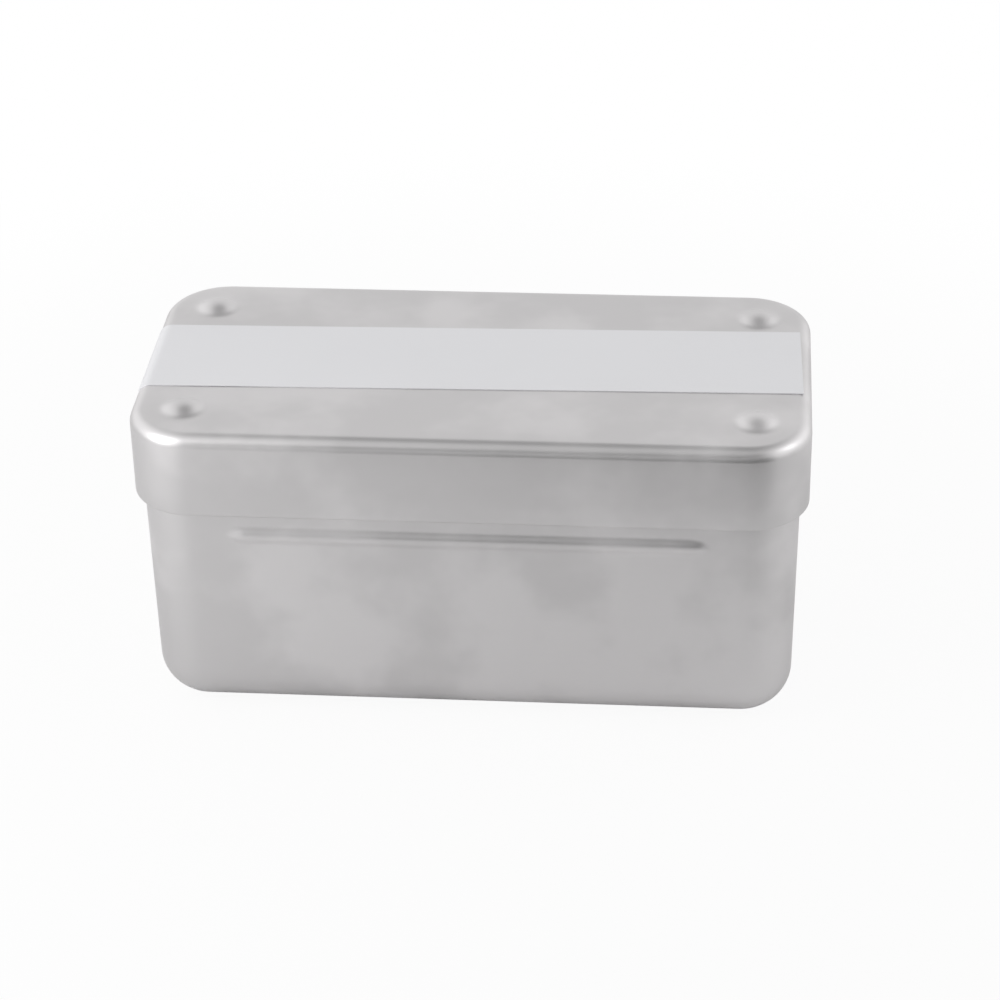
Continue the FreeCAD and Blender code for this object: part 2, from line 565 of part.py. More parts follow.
def wire_path(path):
    """The centre line of a handle: pin, side wire, outer bar, side wire, pin."""
    reach, side = number("Sizes.handle_reach"), number("Sizes.handle_half_width")
    bend, turn = number("Sizes.handle_bend_radius"), number("Sizes.pin_bend_radius")
    start = number("Sizes.pin_half_gap")
    runs = [(V(0, -start), V(0, turn - side)), (V(turn, -side), V(reach - bend, -side)),
            (V(reach, bend - side), V(reach, side - bend)), (V(reach - bend, side), V(turn, side)),
            (V(0, side - turn), V(0, start))]
    for first, last in runs:
        path.addGeometry(Part.LineSegment(first, last), False)
    add_arc(path, V(turn, turn - side), turn, 180, 270)
    add_arc(path, V(reach - bend, bend - side), bend, 270, 360)
    add_arc(path, V(reach - bend, side - bend), bend, 0, 90)
    add_arc(path, V(turn, side - turn), turn, 90, 180)
    for run in range(4):
        arc = 5 + run
        path.addConstraint(Sketcher.Constraint("Tangent", run, 2, arc, 1))
        path.addConstraint(Sketcher.Constraint("Tangent", arc, 2, run + 1, 1))
    for run in range(5):
        path.addConstraint(Sketcher.Constraint("Horizontal" if run % 2 else "Vertical", run))
    pin(path, 0, 1, "0", "(-Sizes.pin_half_gap)")
    pin(path, 4, 2, "0", "Sizes.pin_half_gap")
    size(path, "Sizes.handle_reach", "DistanceX", -1, 1, 2, 1)
    size(path, "Sizes.handle_half_width", "DistanceY", -1, 1, 3, 1)
    size(path, "(-Sizes.handle_half_width)", "DistanceY", -1, 1, 1, 1)
    for arc, radius in ((5, "Sizes.pin_bend_radius"), (6, "Sizes.handle_bend_radius"),
                        (7, "Sizes.handle_bend_radius"), (8, "Sizes.pin_bend_radius")):
        size(path, radius, "Radius", arc)


def bracket(name, x_sign, turn):
    """A bent sheet bracket: a foot riveted to the plate and an ear for a pivot pin."""
    body = new_body(name, x=f"({x_sign}{PIVOT_X})", z=PLATE_TOP, turn=turn)
    bend = new_sketch(body, "bend_outline", "YZ_Plane")
    outer = "Sizes.bracket_ear_place"
    inner = "(Sizes.bracket_ear_place - Sizes.bracket_sheet)"
    top = f"({PIVOT_HEIGHT} + Sizes.bracket_ear_radius)"
    back = "(Sizes.bracket_ear_place - Sizes.bracket_foot)"
    polygon(bend, [(back, "0"), (outer, "0"), (outer, top), (inner, top), (inner, "Sizes.bracket_sheet"),
                   (back, "Sizes.bracket_sheet")])
    pad(body, "bent_sheet", bend, "(2 * Sizes.bracket_half_width)", both_ways=True)
    ear_top = number(top)
    round_edges(body, "ear_rounding", "Sizes.bracket_ear_round",
                lambda edge: edge.BoundBox.ZMin > ear_top - SLACK and edge.BoundBox.XLength < SLACK)
    pivot = new_sketch(body, "pivot_outline", "XZ_Plane", up=PIVOT_HEIGHT, out=f"(-{inner})")
    circle(pivot, "(Sizes.wire_radius + Sizes.fit_gap)")
    pocket(body, "pivot_hole", pivot, "Sizes.bracket_sheet")
    rivet = new_sketch(body, "rivet_outline", up=RIVET_Y)
    circle(rivet, "Sizes.rivet_radius")
    pocket(body, "rivet_hole", rivet, "Sizes.bracket_sheet", down=False)


def bracket_rivets():
    """Four rivets, each with a head on the bracket and one under the plate."""
    body = new_body("bracket_rivets", z=PLATE_UNDER)
    outline = new_sketch(body, "rivet_outline", "XZ_Plane", right=PIVOT_X, out=RIVET_Y)
    grip = "(Sizes.plate_thickness + Sizes.bracket_sheet)"
    top = f"({grip} + Sizes.rivet_head_height)"
    shank = "(Sizes.rivet_radius - Sizes.fit_gap)"
    head = "Sizes.rivet_head_radius"
    low = "(-Sizes.rivet_head_height)"
    polygon(outline, [("0", low), (head, low), (head, "0"), (shank, "0"), (shank, grip), (head, grip),
                      (head, top), ("0", top)])
    four_of(body, "rivets", [turned(body, "rivet", outline)])


box_body()
lid()
lid_label()
rack_plate()
guide_plate()
for order, shade in enumerate(STRIP_COLOURS):
    strip(shade, order)
corners = [(-1, -1), (1, -1), (1, 1), (-1, 1)]
for order, (x_side, y_side) in enumerate(corners, 1):
    post(order, x_side, y_side)
    leg(order, x_side, y_side)
rack_feet()
rack_screws()
handle("left", 180.0)
handle("right", 0.0)
for bracket_name, x_sign, turn in (("bracket_left_front", "-", 180.0), ("bracket_left_back", "-", 0.0),
                                   ("bracket_right_front", "", 180.0), ("bracket_right_back", "", 0.0)):
    bracket(bracket_name, x_sign, turn)
bracket_rivets()
doc.recompute()

for item in doc.Objects:
    if {"Invalid", "Error"} & set(item.State):
        raise RuntimeError(f"{item.Name} failed: {item.State}")
os.makedirs(OUT, exist_ok=True)
nodes = [item for item in doc.Objects if item.TypeId == "PartDesign::Body"]
for node in nodes:
    if node.Shape.isNull() or not node.Shape.isValid():
        raise RuntimeError(f"{node.Label} has no valid shape")
for node in nodes:
    node.Shape.exportStep(os.path.join(OUT, f"{node.Label}.step"))
print(len(nodes), "nodes")
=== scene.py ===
"""Dresses a drawn aluminium box for root canal files.

The box and its lid are deep-drawn shells, the band on the lid is thin foil, and the rack inside
holds silicone strips, steel posts and two wire handles. Lengths are in metres, with X along the
box, Y towards its back and Z up.
"""

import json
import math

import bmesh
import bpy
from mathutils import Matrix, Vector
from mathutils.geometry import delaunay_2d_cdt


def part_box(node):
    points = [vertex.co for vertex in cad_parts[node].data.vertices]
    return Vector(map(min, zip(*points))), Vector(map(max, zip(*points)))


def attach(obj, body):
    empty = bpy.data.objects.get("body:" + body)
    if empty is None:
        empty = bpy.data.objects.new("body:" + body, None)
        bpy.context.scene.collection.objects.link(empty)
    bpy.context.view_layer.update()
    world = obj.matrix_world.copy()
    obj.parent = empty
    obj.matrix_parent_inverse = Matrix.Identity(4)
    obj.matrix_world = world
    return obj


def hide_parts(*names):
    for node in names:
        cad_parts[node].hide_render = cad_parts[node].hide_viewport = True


bl_info = {
    "name": "Endodontic File Box",
    "version": (1, 0, 0),
    "blender": (4, 5, 0),
    "location": "3D View > Sidebar > File Box",
    "description": "Drawn aluminium shells, foil band, silicone strips and wire handles of a file box",
    "category": "Object",
}

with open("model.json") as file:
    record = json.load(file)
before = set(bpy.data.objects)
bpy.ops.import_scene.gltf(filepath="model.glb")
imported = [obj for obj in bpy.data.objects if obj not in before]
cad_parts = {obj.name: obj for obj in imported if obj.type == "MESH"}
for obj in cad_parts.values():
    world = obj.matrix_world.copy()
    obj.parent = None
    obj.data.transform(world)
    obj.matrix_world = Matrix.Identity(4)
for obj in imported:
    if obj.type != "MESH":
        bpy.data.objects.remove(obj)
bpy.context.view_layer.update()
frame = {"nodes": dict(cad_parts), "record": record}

MM = 0.001
MERGE = 1e-6  # points closer than this are one
LEVEL = 0.9999  # how upright the normal of a level face is
FIT = 0.05 * MM  # play between pieces that fit together
WALL_INSET = 1.5 * MM  # outside of the box wall to outside of the lid's skirt
RIVET_RADIUS = 1.5 * MM
FLOOR_HALF = 6.0
FLOOR_FADE = (0.10 ** 2, 0.24 ** 2)  # squared distances over which the floor turns pure white
BEHIND, BESIDE, ACROSS_FRONT = (0.0, 0.7), (0.06, 0.40), (-0.25, 0.10)  # blends of the room's sides
PATCH_EDGE = (0.6, 1.5)  # softness of the dark patch
WHITE = (1.0, 1.0, 1.0)
STRIP_COLOURS = {
    "white": (0.80, 0.80, 0.77),
    "yellow": (0.83, 0.55, 0.03),
    "red": (0.60, 0.035, 0.03),
    "blue": (0.03, 0.13, 0.47),
    "green": (0.03, 0.28, 0.10),
    "black": (0.025, 0.025, 0.028),
}


def corner(node, side):
    """One of the two extreme corners of a construction node."""
    return Vector(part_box(node)[side])


def middle(node):
    """The middle of a construction node's box."""
    return (corner(node, 0) + corner(node, 1)) / 2


def chosen(group):
    """The values that the user has in a group of settings."""
    return getattr(bpy.context.scene, f"file_box_{group}")


def placed(name, data):
    """A new object in the scene."""
    thing = bpy.data.objects.new(name, data)
    bpy.context.scene.collection.objects.link(thing)
    return thing


def evaluated(thing):
    """The plain mesh of an object whose modifiers have run."""
    graph = bpy.context.evaluated_depsgraph_get()
    return bpy.data.meshes.new_from_object(thing.evaluated_get(graph))


LID_LOW, LID_HIGH = corner("lid", 0), corner("lid", 1)
BODY_LOW, BODY_HIGH = corner("box_body", 0), corner("box_body", 1)
PLATE_LOW, PLATE_HIGH = corner("rack_plate", 0), corner("rack_plate", 1)
GUIDE_LOW, GUIDE_HIGH = corner("guide_plate", 0), corner("guide_plate", 1)
POST = middle("rack_post_3")
PIVOTS = {joint["child"]: Vector(joint["pos_m"]) for joint in frame["record"]["behaviour"]["joints"]
          if joint["type"] == "hinge"}
PIP_HEIGHT = 1.3 * MM
LID_TOP = LID_HIGH.z - PIP_HEIGHT

# Each card's left and right end: x, y, height of its lower edge and of its upper edge, in mm.
CARDS = {"high_card": ((-200, -320, 115, 190), (160, -130, 145, 220)),
         "low_card": ((-110, -272, 0, 25), (160, -130, 0, 120))}

# Each softbox's place, target, size and power, in metres and watts.
SOFTBOXES = [
    ("left_softbox", (-0.22, -0.15, 0.15), (-0.07, -0.06, 0.02), (0.12, 0.20), 0.22),
    ("right_softbox", (0.42, -0.02, 0.31), (0.06, 0.0, 0.05), (0.14, 0.14), 0.12),
]


def length(name, default, description):
    """A length that a user can change, given here in millimetres."""
    return bpy.props.FloatProperty(name=name, default=default * MM, description=description,
                                   unit="LENGTH", precision=5, min=0.0)


def amount(name, default, description, low=0.0, high=1.0):
    """A plain number that a user can change."""
    return bpy.props.FloatProperty(name=name, default=default, description=description,
                                   min=low, max=high)


def angle(name, default, description):
    """An angle, given here in degrees."""
    return bpy.props.FloatProperty(name=name, default=math.radians(default), description=description,
                                   subtype="ANGLE")


def tint(name, default, description):
    """A linear colour that a user can change."""
    return bpy.props.FloatVectorProperty(name=name, default=default, description=description,
                                         subtype="COLOR", size=3, min=0.0, max=1.0)


class ShellSizes(bpy.types.PropertyGroup):
    """Sizes that the box and its lid share."""
    sheet: length("Sheet", 1.0, "Thickness of the drawn aluminium")
    rim_round: length("Rim Rounding", 0.35, "Rounding of the cut edge")
    corner_steps: bpy.props.IntProperty(name="Corner Steps", default=18, min=4,
                                        description="Facets round an upright corner")


class BodySizes(bpy.types.PropertyGroup):
    """Sizes of the drawn box."""
    corner_radius: length("Corner Radius", 10.5, "Upright corners at the rim")
    base_radius: length("Base Radius", 8.5, "Rounding between walls and base")
    draft: angle("Draft", 0.7, "Taper of the walls")
    bead_length: length("Bead Length", 92.0, "Raised bead along each long wall")
    bead_ball: length("Bead Radius", 2.6, "Roundness of the bead")
    bead_depth: length("Bead Depth", 0.5, "Bead proud of the wall")
    bead_foot: length("Bead Foot", 2.2, "Hollow rounding along the bead's foot")
    bead_run_out: amount("Bead Run-out", 2.0, "How much longer than wide the bead's ends are", 1.0, 10.0)
    bead_drop: length("Bead Drop", 20.1, "Middle of the bead below the rim")


class LidSizes(bpy.types.PropertyGroup):
    """Sizes of the drawn lid."""
    corner_radius: length("Corner Radius", 12.0, "Upright corners of the skirt")
    edge_radius: length("Edge Radius", 2.5, "Rounding between top and skirt")
    pip_ball: length("Pip Radius", 6.4, "Roundness of the raised pips")
    pip_foot: length("Pip Foot", 3.1, "Hollow rounding round a pip's foot")
    pip_end_inset: length("Pip End Inset", 10.0, "Pip from the lid's end")
    pip_side_inset: length("Pip Side Inset", 11.0, "Pip from the lid's side")


class BandSizes(bpy.types.PropertyGroup):
    """Sizes of the foil band on the lid."""
    width: length("Width", 24.0, "Band from front to back")
    turn: angle("Turn", 1.3, "How far the band was stuck on askew")
    offset: length("Offset", 1.5, "Middle of the band behind the middle of the lid")
    thickness: length("Thickness", 0.15, "Foil and glue")
    fold: length("Fold", 2.3, "Foil pressed down round the left edge of the lid")
    lift: length("Lift", 0.05, "Front edge come loose near its left end")


class RackSizes(bpy.types.PropertyGroup):
    """Sizes of the rack's plates, strips and turned parts."""
    plate_corner: length("Plate Corner", 9.1, "Corners of the upper plate")
    guide_corner: length("Guide Corner", 4.6, "Corners of the lower plate")
    edge: length("Edge Rounding", 0.2, "Rounding of punched and turned edges")
    drain_width: length("Drain Width", 2.4, "Drain slots of the upper plate")
    drain_length: length("Drain Length", 38.0, "Drain slots, end to end")
    guide_width: length("Guide Slot Width", 3.0, "Slots of the lower plate")
    strip_slot: length("Strip Slot", 6.4, "Slots that the strips are pressed into")
    strip_lip: length("Strip Lip", 7.7, "Width of a strip's lip below the plate")
    hole_count: bpy.props.IntProperty(name="Holes", default=6, min=1, description="Holes in each strip")
    hole_radius: length("Hole Radius", 1.0, "Hole for a file")
    hole_margin: length("Hole Margin", 4.2, "Last hole to the end of its strip")
    mouth: length("Mouth", 0.5, "Funnel round the mouth of each hole")
    shank: length("Shank Radius", 1.45, "Screws and studs")
    rivet_shank: length("Rivet Shank Radius", 0.75, "Rivets between their heads")
    rivet_head: length("Rivet Head", 0.6, "Height of a rivet's head")
    seed: bpy.props.IntProperty(name="Seed", default=7, description="How far each screw is turned")


class HandleSizes(bpy.types.PropertyGroup):
    """Sizes of the two wire handles."""
    wire: length("Wire Radius", 1.0, "Stainless wire")
    reach: length("Reach", 12.5, "Outer bar from the pivot")
    half_width: length("Half Width", 11.5, "Side wire from the middle")
    pin_gap: length("Pin Gap", 7.6, "End of a pivot pin from the middle")
    outer_bend: length("Outer Bend", 3.5, "Bends beside the outer bar")
    pin_bend: length("Pin Bend", 1.5, "Bends beside the pivot pins")
    tilt: angle("Rest Tilt", 5.05, "Outer bar below the pivot when folded")


class FinishColours(bpy.types.PropertyGroup):
    """Colours and gloss of the finishes."""
    drawn: tint("Drawn Aluminium", (0.80, 0.785, 0.79), "Satin skin of box and lid")
    drawn_roughness: amount("Drawn Roughness", 0.42, "Gloss of the drawn skin")
    plate: tint("Plate Aluminium", (0.60, 0.60, 0.61), "Punched plates of the rack")
    steel: tint("Stainless Steel", (0.56, 0.55, 0.54), "Wire, posts, legs and screws")
    foil: tint("Foil", (0.86, 0.86, 0.88), "Band along the lid")
    feet: tint("Feet", (0.66, 0.66, 0.64), "Translucent silicone feet")


class StageSettings(bpy.types.PropertyGroup):
    """Camera and light."""
    azimuth: angle("Azimuth", 5.13, "Camera round the box from square on")
    elevation: angle("Elevation", 31.06, "Camera above the floor")
    roll: angle("Roll", -1.09, "Camera turned about its own axis")
    distance: length("Distance", 578.05, "Camera from the point that it looks at")
    aim: bpy.props.FloatVectorProperty(name="Aim", default=(3.78 * MM, 0.0, 31.06 * MM), subtype="XYZ",
                                       unit="LENGTH", description="Point that the camera looks at")
    lens: amount("Lens", 108.0, "Focal length in millimetres on a 36 mm sensor", 20.0, 300.0)
    floor: tint("Floor", (0.79, 0.79, 0.79), "Pale floor")
    whiteness: amount("Floor Whiteness", 0.93, "How far the camera sees the floor as pure white")
    mirrored: amount("Mirrored Whiteness", 0.10, "How far metal shows the floor as pure white")
    overhead: amount("Dark Patch Level", 0.26, "Brightness of the dark patch high behind", 0.0, 2.0)
    front_left: amount("Front Left Level", 0.80, "Brightness of the room in front, at left", 0.0, 2.0)
    front_right: amount("Front Right Level", 0.44, "Brightness of the room in front, at right", 0.0, 2.0)
    backdrop: amount("Backdrop Level", 0.80, "Brightness of the room behind the box", 0.0, 2.0)
    sides: amount("Side Level", 1.08, "Brightness of the room beside the box", 0.0, 2.0)
    dark_rise: angle("Dark Patch Elevation", 72.0, "Middle of the dark patch above the horizon behind")
    dark_spread: bpy.props.FloatVectorProperty(name="Dark Patch Spread", size=2, unit="ROTATION",
                                               default=(math.radians(16), math.radians(24)),
                                               description="Half width and half height of the patch")
    card: tint("Card", (0.13, 0.13, 0.13), "Dark cards in front that draw the edges of the metal")


SETTINGS = {"shell": ShellSizes, "body": BodySizes, "lid": LidSizes, "band": BandSizes,
            "rack": RackSizes, "handle": HandleSizes, "finish": FinishColours, "stage": StageSettings}


class Shade:
    """A shader socket that adds Math nodes when it is used in an expression."""

    def __init__(self, tree, socket):
        self.tree = tree
        self.socket = socket

    def _math(self, operation, *values):
        node = self.tree.nodes.new("ShaderNodeMath")
        node.operation = operation
        for place, value in zip(node.inputs, values):
            plug(self.tree, place, value)
        return Shade(self.tree, node.outputs[0])

    def __add__(self, other):
        return self._math("ADD", self, other)

    def __sub__(self, other):
        return self._math("SUBTRACT", self, other)

    def __rsub__(self, other):
        return self._math("SUBTRACT", other, self)

    def __mul__(self, other):
        return self._math("MULTIPLY", self, other)

    __radd__, __rmul__ = __add__, __mul__


def plug(tree, place, value):
    """Links a socket to an input, or sets the input to a plain value."""
    if isinstance(value, Shade):
        value = value.socket
    if isinstance(value, bpy.types.NodeSocket):
        tree.links.new(value, place)
    elif isinstance(value, (tuple, list)) and len(value) == 3 and len(place.default_value) == 4:
        place.default_value = (*value, 1.0)
    else:
        place.default_value = value


class Nodes:
    """A node tree that starts empty."""

    def __init__(self, tree):
        self.tree = tree
        tree.nodes.clear()

    def node(self, kind, settings=None, output=0, **values):
        """A node of that type, with its settings, then its inputs, set."""
        node = self.tree.nodes.new(kind)
        for key, value in (settings or {}).items():
            setattr(node, key, value)
        for key, value in values.items():
            plug(self.tree, node.inputs[key.replace("_", " ")], value)
        return Shade(self.tree, node.outputs[output])

    def ramp(self, value, low, high, start=0.0, end=1.0):
        """A value mapped smoothly from one range to another."""
        return self.node("ShaderNodeMapRange", {"interpolation_type": "SMOOTHSTEP"}, Value=value,
                         From_Min=low, From_Max=high, To_Min=start, To_Max=end)

    def axes(self, vector):
        """The three parts of a vector."""
        node = self.tree.nodes.new("ShaderNodeSeparateXYZ")
        plug(self.tree, node.inputs[0], vector)
        return [Shade(self.tree, socket) for socket in node.outputs]

    def either(self, factor, first, second):
        """Two shaders mixed by a factor."""
        mix = self.tree.nodes.new("ShaderNodeMixShader")
        for place, value in zip(mix.inputs, (factor, first, second)):
            plug(self.tree, place, value)
        return Shade(self.tree, mix.outputs[0])


class Finish(Nodes):
    """A material with one Principled shader and a few handy ways to feed it."""

    def __init__(self, name):
        self.material = bpy.data.materials.new(name)
        self.material.use_nodes = True
        super().__init__(self.material.node_tree)
        self.output = self.tree.nodes.new("ShaderNodeOutputMaterial")
        self.shader = self.tree.nodes.new("ShaderNodeBsdfPrincipled")
        self.tree.links.new(self.shader.outputs[0], self.output.inputs["Surface"])

    def place(self, scale=(1.0, 1.0, 1.0), turn=(0.0, 0.0, 0.0)):
        """Object coordinates, scaled and turned."""
        coordinates = self.tree.nodes.new("ShaderNodeTexCoord").outputs["Object"]
        return self.node("ShaderNodeMapping", Vector=coordinates, Scale=scale, Rotation=turn)

    def noise(self, scale, detail=2.0, roughness=0.5, stretch=(1.0, 1.0, 1.0)):
        """Noise from 0 to 1 whose scale is in waves per metre."""
        return self.node("ShaderNodeTexNoise", Vector=self.place(stretch), Scale=scale, Detail=detail,
                         Roughness=roughness)

    def blend(self, factor, first, second):
        """Two colours mixed by a factor."""
        node = self.tree.nodes.new("ShaderNodeMix")
        node.data_type = "RGBA"
        for place, value in zip((0, 6, 7), (factor, first, second)):
            plug(self.tree, node.inputs[place], value)
        return Shade(self.tree, node.outputs[2])

    def feed(self, **values):
        """Sets or links inputs of the Principled shader."""
        for key, value in values.items():
            plug(self.tree, self.shader.inputs[key.replace("_", " ")], value)

    def skin(self, mask, share, colour, **values):
        """Feeds a colour that runs from a share of itself to the whole, and other values."""
        dark = tuple(part * share for part in colour)
        self.feed(Base_Color=self.blend(mask, dark, tuple(colour)), **values)

    def bump(self, height, strength, distance):
        """Relief fed to the shader's normal."""
        self.feed(Normal=self.node("ShaderNodeBump", Height=height, Strength=strength, Distance=distance))


def satin_aluminium():
    """Satin drawn sheet: soft mottling, fine drawing lines and a fine grain."""
    look = chosen("finish")
    finish = Finish("satin_aluminium")
    cloud = finish.noise(55.0, 3.0, 0.5)
    patch = finish.noise(22.0, 2.0, 0.5)
    streak = finish.noise(900.0, 3.0, 0.6, (0.06, 0.06, 1.0))
    grain = finish.noise(5200.0, 2.0, 0.6)
    mottle = finish.ramp(cloud * 0.6 + patch * 0.4, 0.41, 0.59)
    finish.skin(mottle, 0.88, look.drawn, Metallic=1.0,
                Roughness=look.drawn_roughness + 0.07 * mottle + 0.05 * streak - 0.06)
    finish.bump(cloud * 0.90 + streak * 0.12 + grain * 0.02, 1.0, 0.00012)
    return finish.material


def brushed_aluminium():
    """Punched plate with a grain brushed along the box."""
    look = chosen("finish")
    finish = Finish("brushed_aluminium")
    grain = finish.noise(2600.0, 3.0, 0.6, (0.02, 1.0, 1.0))
    patch = finish.noise(70.0, 3.0)
    finish.skin(patch, 0.92, look.plate, Metallic=1.0, Roughness=0.30 + 0.10 * grain)
    finish.bump(grain, 0.35, 0.00002)
    return finish.material


def polished_steel():
    """Drawn and turned stainless steel with faint handling marks."""
    look = chosen("finish")
    finish = Finish("polished_steel")
    marks = finish.noise(420.0, 4.0, 0.65)
    finish.skin(marks, 0.90, look.steel, Metallic=1.0, Roughness=0.17 + 0.12 * marks)
    finish.bump(marks, 0.25, 0.00001)
    return finish.material


def silver_foil():
    """Thin silvery foil with a slight orange peel from its glue."""
    look = chosen("finish")
    finish = Finish("silver_foil")
    peel = finish.noise(900.0, 2.0)
    broad = finish.noise(45.0, 2.0)
    finish.skin(broad, 0.97, look.foil, Metallic=0.55, Roughness=0.42 + 0.06 * peel)
    finish.bump(peel * 0.2 + broad, 0.4, 0.00003)
    return finish.material


def silicone(name, colour):
    """Moulded silicone with a fine matt skin."""
    finish = Finish(name)
    skin = finish.noise(6000.0, 2.0)
    dust = finish.noise(300.0, 4.0, 0.6)
    pale = tuple(part + 0.03 for part in colour)
    finish.feed(Base_Color=finish.blend(finish.ramp(dust, 0.45, 0.75), colour, pale),
                Roughness=0.46 + 0.10 * dust, Subsurface_Weight=0.08, Subsurface_Scale=0.0008)
    finish.bump(skin, 0.3, 0.00002)
    return finish.material


class Growth(Nodes):
    """A geometry node tree with named inputs, which ends in one material."""

    def __init__(self, name, **inputs):
        tree = bpy.data.node_groups.new(name, "GeometryNodeTree")
        super().__init__(tree)
        tree.interface.new_socket("Geometry", in_out="INPUT", socket_type="NodeSocketGeometry")
        kinds = {float: "NodeSocketFloat", int: "NodeSocketInt", tuple: "NodeSocketVector"}
        for key, value in inputs.items():
            socket = tree.interface.new_socket(key.replace("_", " "), in_out="INPUT",
                                               socket_type=kinds[type(value)])
            socket.default_value = value
        tree.interface.new_socket("Material", in_out="INPUT", socket_type="NodeSocketMaterial")
        tree.interface.new_socket("Geometry", in_out="OUTPUT", socket_type="NodeSocketGeometry")
        self.source = tree.nodes.new("NodeGroupInput")

    def __getitem__(self, name):
        return Shade(self.tree, self.source.outputs[name])

    def cut(self, solid, cutter):
        """A solid with a cutter taken out of it."""
        node = self.tree.nodes.new("GeometryNodeMeshBoolean")
        node.operation, node.solver = "DIFFERENCE", "EXACT"
        plug(self.tree, node.inputs["Mesh 1"], solid)
        plug(self.tree, node.inputs["Mesh 2"], cutter)
        return Shade(self.tree, node.outputs[0])

    def close(self, geometry):
        """Ends the tree in real geometry with its material."""
        real = self.node("GeometryNodeRealizeInstances", Geometry=geometry)
        painted = self.node("GeometryNodeSetMaterial", Geometry=real, Material=self["Material"])
        target = self.tree.nodes.new("NodeGroupOutput")
        plug(self.tree, target.inputs["Geometry"], painted)
        return self

    def grow(self, name, material, start=None, **values):
        """The plain mesh that the tree makes from a starting mesh."""
        seed = placed(name, start or bpy.data.meshes.new(name))
        modifier = seed.modifiers.new(name, "NODES")
        modifier.node_group = self.tree
        for item in self.tree.interface.items_tree:
            key = item.name.replace(" ", "_")
            if item.in_out == "INPUT" and key in values:
                modifier[item.identifier] = values[key]
            elif item.name == "Material":
                modifier[item.identifier] = material
        mesh = evaluated(seed)
        seed.modifiers.remove(modifier)
        bpy.data.objects.remove(seed)
        return tidy(mesh)


def tidy(mesh, smooth_angle=math.radians(34)):
    """Merges doubles, turns the faces outwards, keeps the edges crisp and level faces flat."""
    work = bmesh.new()
    work.from_mesh(mesh)
    bmesh.ops.remove_doubles(work, verts=work.verts, dist=MERGE)
    bmesh.ops.dissolve_degenerate(work, edges=work.edges, dist=MERGE)
    bmesh.ops.recalc_face_normals(work, faces=work.faces)
    work.normal_update()
    for face in work.faces:
        face.smooth = True
    for edge in work.edges:
        level = [abs(face.normal.z) > LEVEL for face in edge.link_faces]
        edge.smooth = len(level) == 2 and level[0] == level[1] and edge.calc_face_angle() < smooth_angle
    work.to_mesh(mesh)
    work.free()
    return mesh


def new_piece(name, mesh, node, body, material=None):
    """A finished piece that stands for construction nodes."""
    piece = placed(name, mesh)
    if material:
        mesh.materials.clear()
        mesh.materials.append(material)
    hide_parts(*node)
    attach(piece, body)
    return piece


def mesh_from(name, work, smooth_angle=math.radians(180)):
    """A mesh made from a bmesh, shaded smooth up to an angle."""
    bmesh.ops.recalc_face_normals(work, faces=work.faces)
    mesh = bpy.data.meshes.new(name)
    work.to_mesh(mesh)
    work.free()
    mesh.shade_smooth()
    mesh.set_sharp_from_angle(angle=smooth_angle)
    return mesh


def spread(start, end, step):
    """Evenly spaced values from start up to, and not counting, end."""
    count = max(1, round(abs(end - start) / step))
    return [start + (end - start) * index / count for index in range(count)]


def arc(centre, radius, start, end, steps):
    """Points of a circular arc in a plane, both ends included; angles in degrees."""
    turns = [math.radians(start + (end - start) * index / steps) for index in range(steps + 1)]
    return [(centre[0] + radius * math.cos(turn), centre[1] + radius * math.sin(turn)) for turn in turns]


def stations(core_x, core_y, along_x, along_y, corner_steps):
    """Points of the core rectangle that a shell surrounds, each with its outward direction."""
    ring = []
    sides = [([(x, -core_y) for x in along_x], -90), ([(core_x, y) for y in along_y], 0),
             ([(-x, core_y) for x in along_x], 90), ([(-core_x, -y) for y in along_y], 180)]
    for points, heading in sides:
        ring += [(Vector(point), heading) for point in points]
        for step in range(1, corner_steps):
            ring.append((Vector(points[-1]), heading + 90 * step / corner_steps))
    return [(point, Vector((math.cos(math.radians(turn)), math.sin(math.radians(turn)))))
            for point, turn in ring]


def loft(work, ring, profile, swell=None):
    """Quads between rings; each ring lies a profile distance outside the core, at a height."""
    rows = []
    for out, height in profile:
        row = []
        for point, way in ring:
            extra = swell(point, way, height) if swell else 0.0
            place = point + way * (out + extra)
            row.append(work.verts.new((place.x, place.y, height)))
        rows.append(row)
    for low, high in zip(rows, rows[1:]):
        for index in range(len(ring)):
            after = (index + 1) % len(ring)
            work.faces.new((low[index], low[after], high[after], high[index]))
    return rows


def bead_swell(sizes, rim):
    """How far the wall of the box swells out at a place, for the bead on each long side."""
    ball, depth, foot = sizes.bead_ball, sizes.bead_depth, sizes.bead_foot
    reach = sizes.bead_length / 2 - ball * sizes.bead_run_out
    centre = rim - sizes.bead_drop
    cap = cap_profile(ball, depth, foot)

    def swell(point, way, height):
        if abs(way.y) < 0.999:
            return 0.0
        beyond = max(abs(point.x) - reach, 0.0) / sizes.bead_run_out
        return cap(math.hypot(beyond, height - centre))
    return swell


def cap_profile(ball, height, foot):
    """Height of a ball pressed up through a flat sheet, with a hollow rounding at its foot."""
    deep = ball - height
    foot_centre = math.sqrt((ball + foot) ** 2 - (foot + deep) ** 2)
    joint = foot_centre * ball / (ball + foot)

    def at(distance):
        if distance < joint:
            return math.sqrt(ball ** 2 - distance ** 2) - deep
        if distance < foot_centre:
            return foot - math.sqrt(foot ** 2 - (foot_centre - distance) ** 2)
        return 0.0
    at.joint, at.edge = joint, foot_centre
    return at


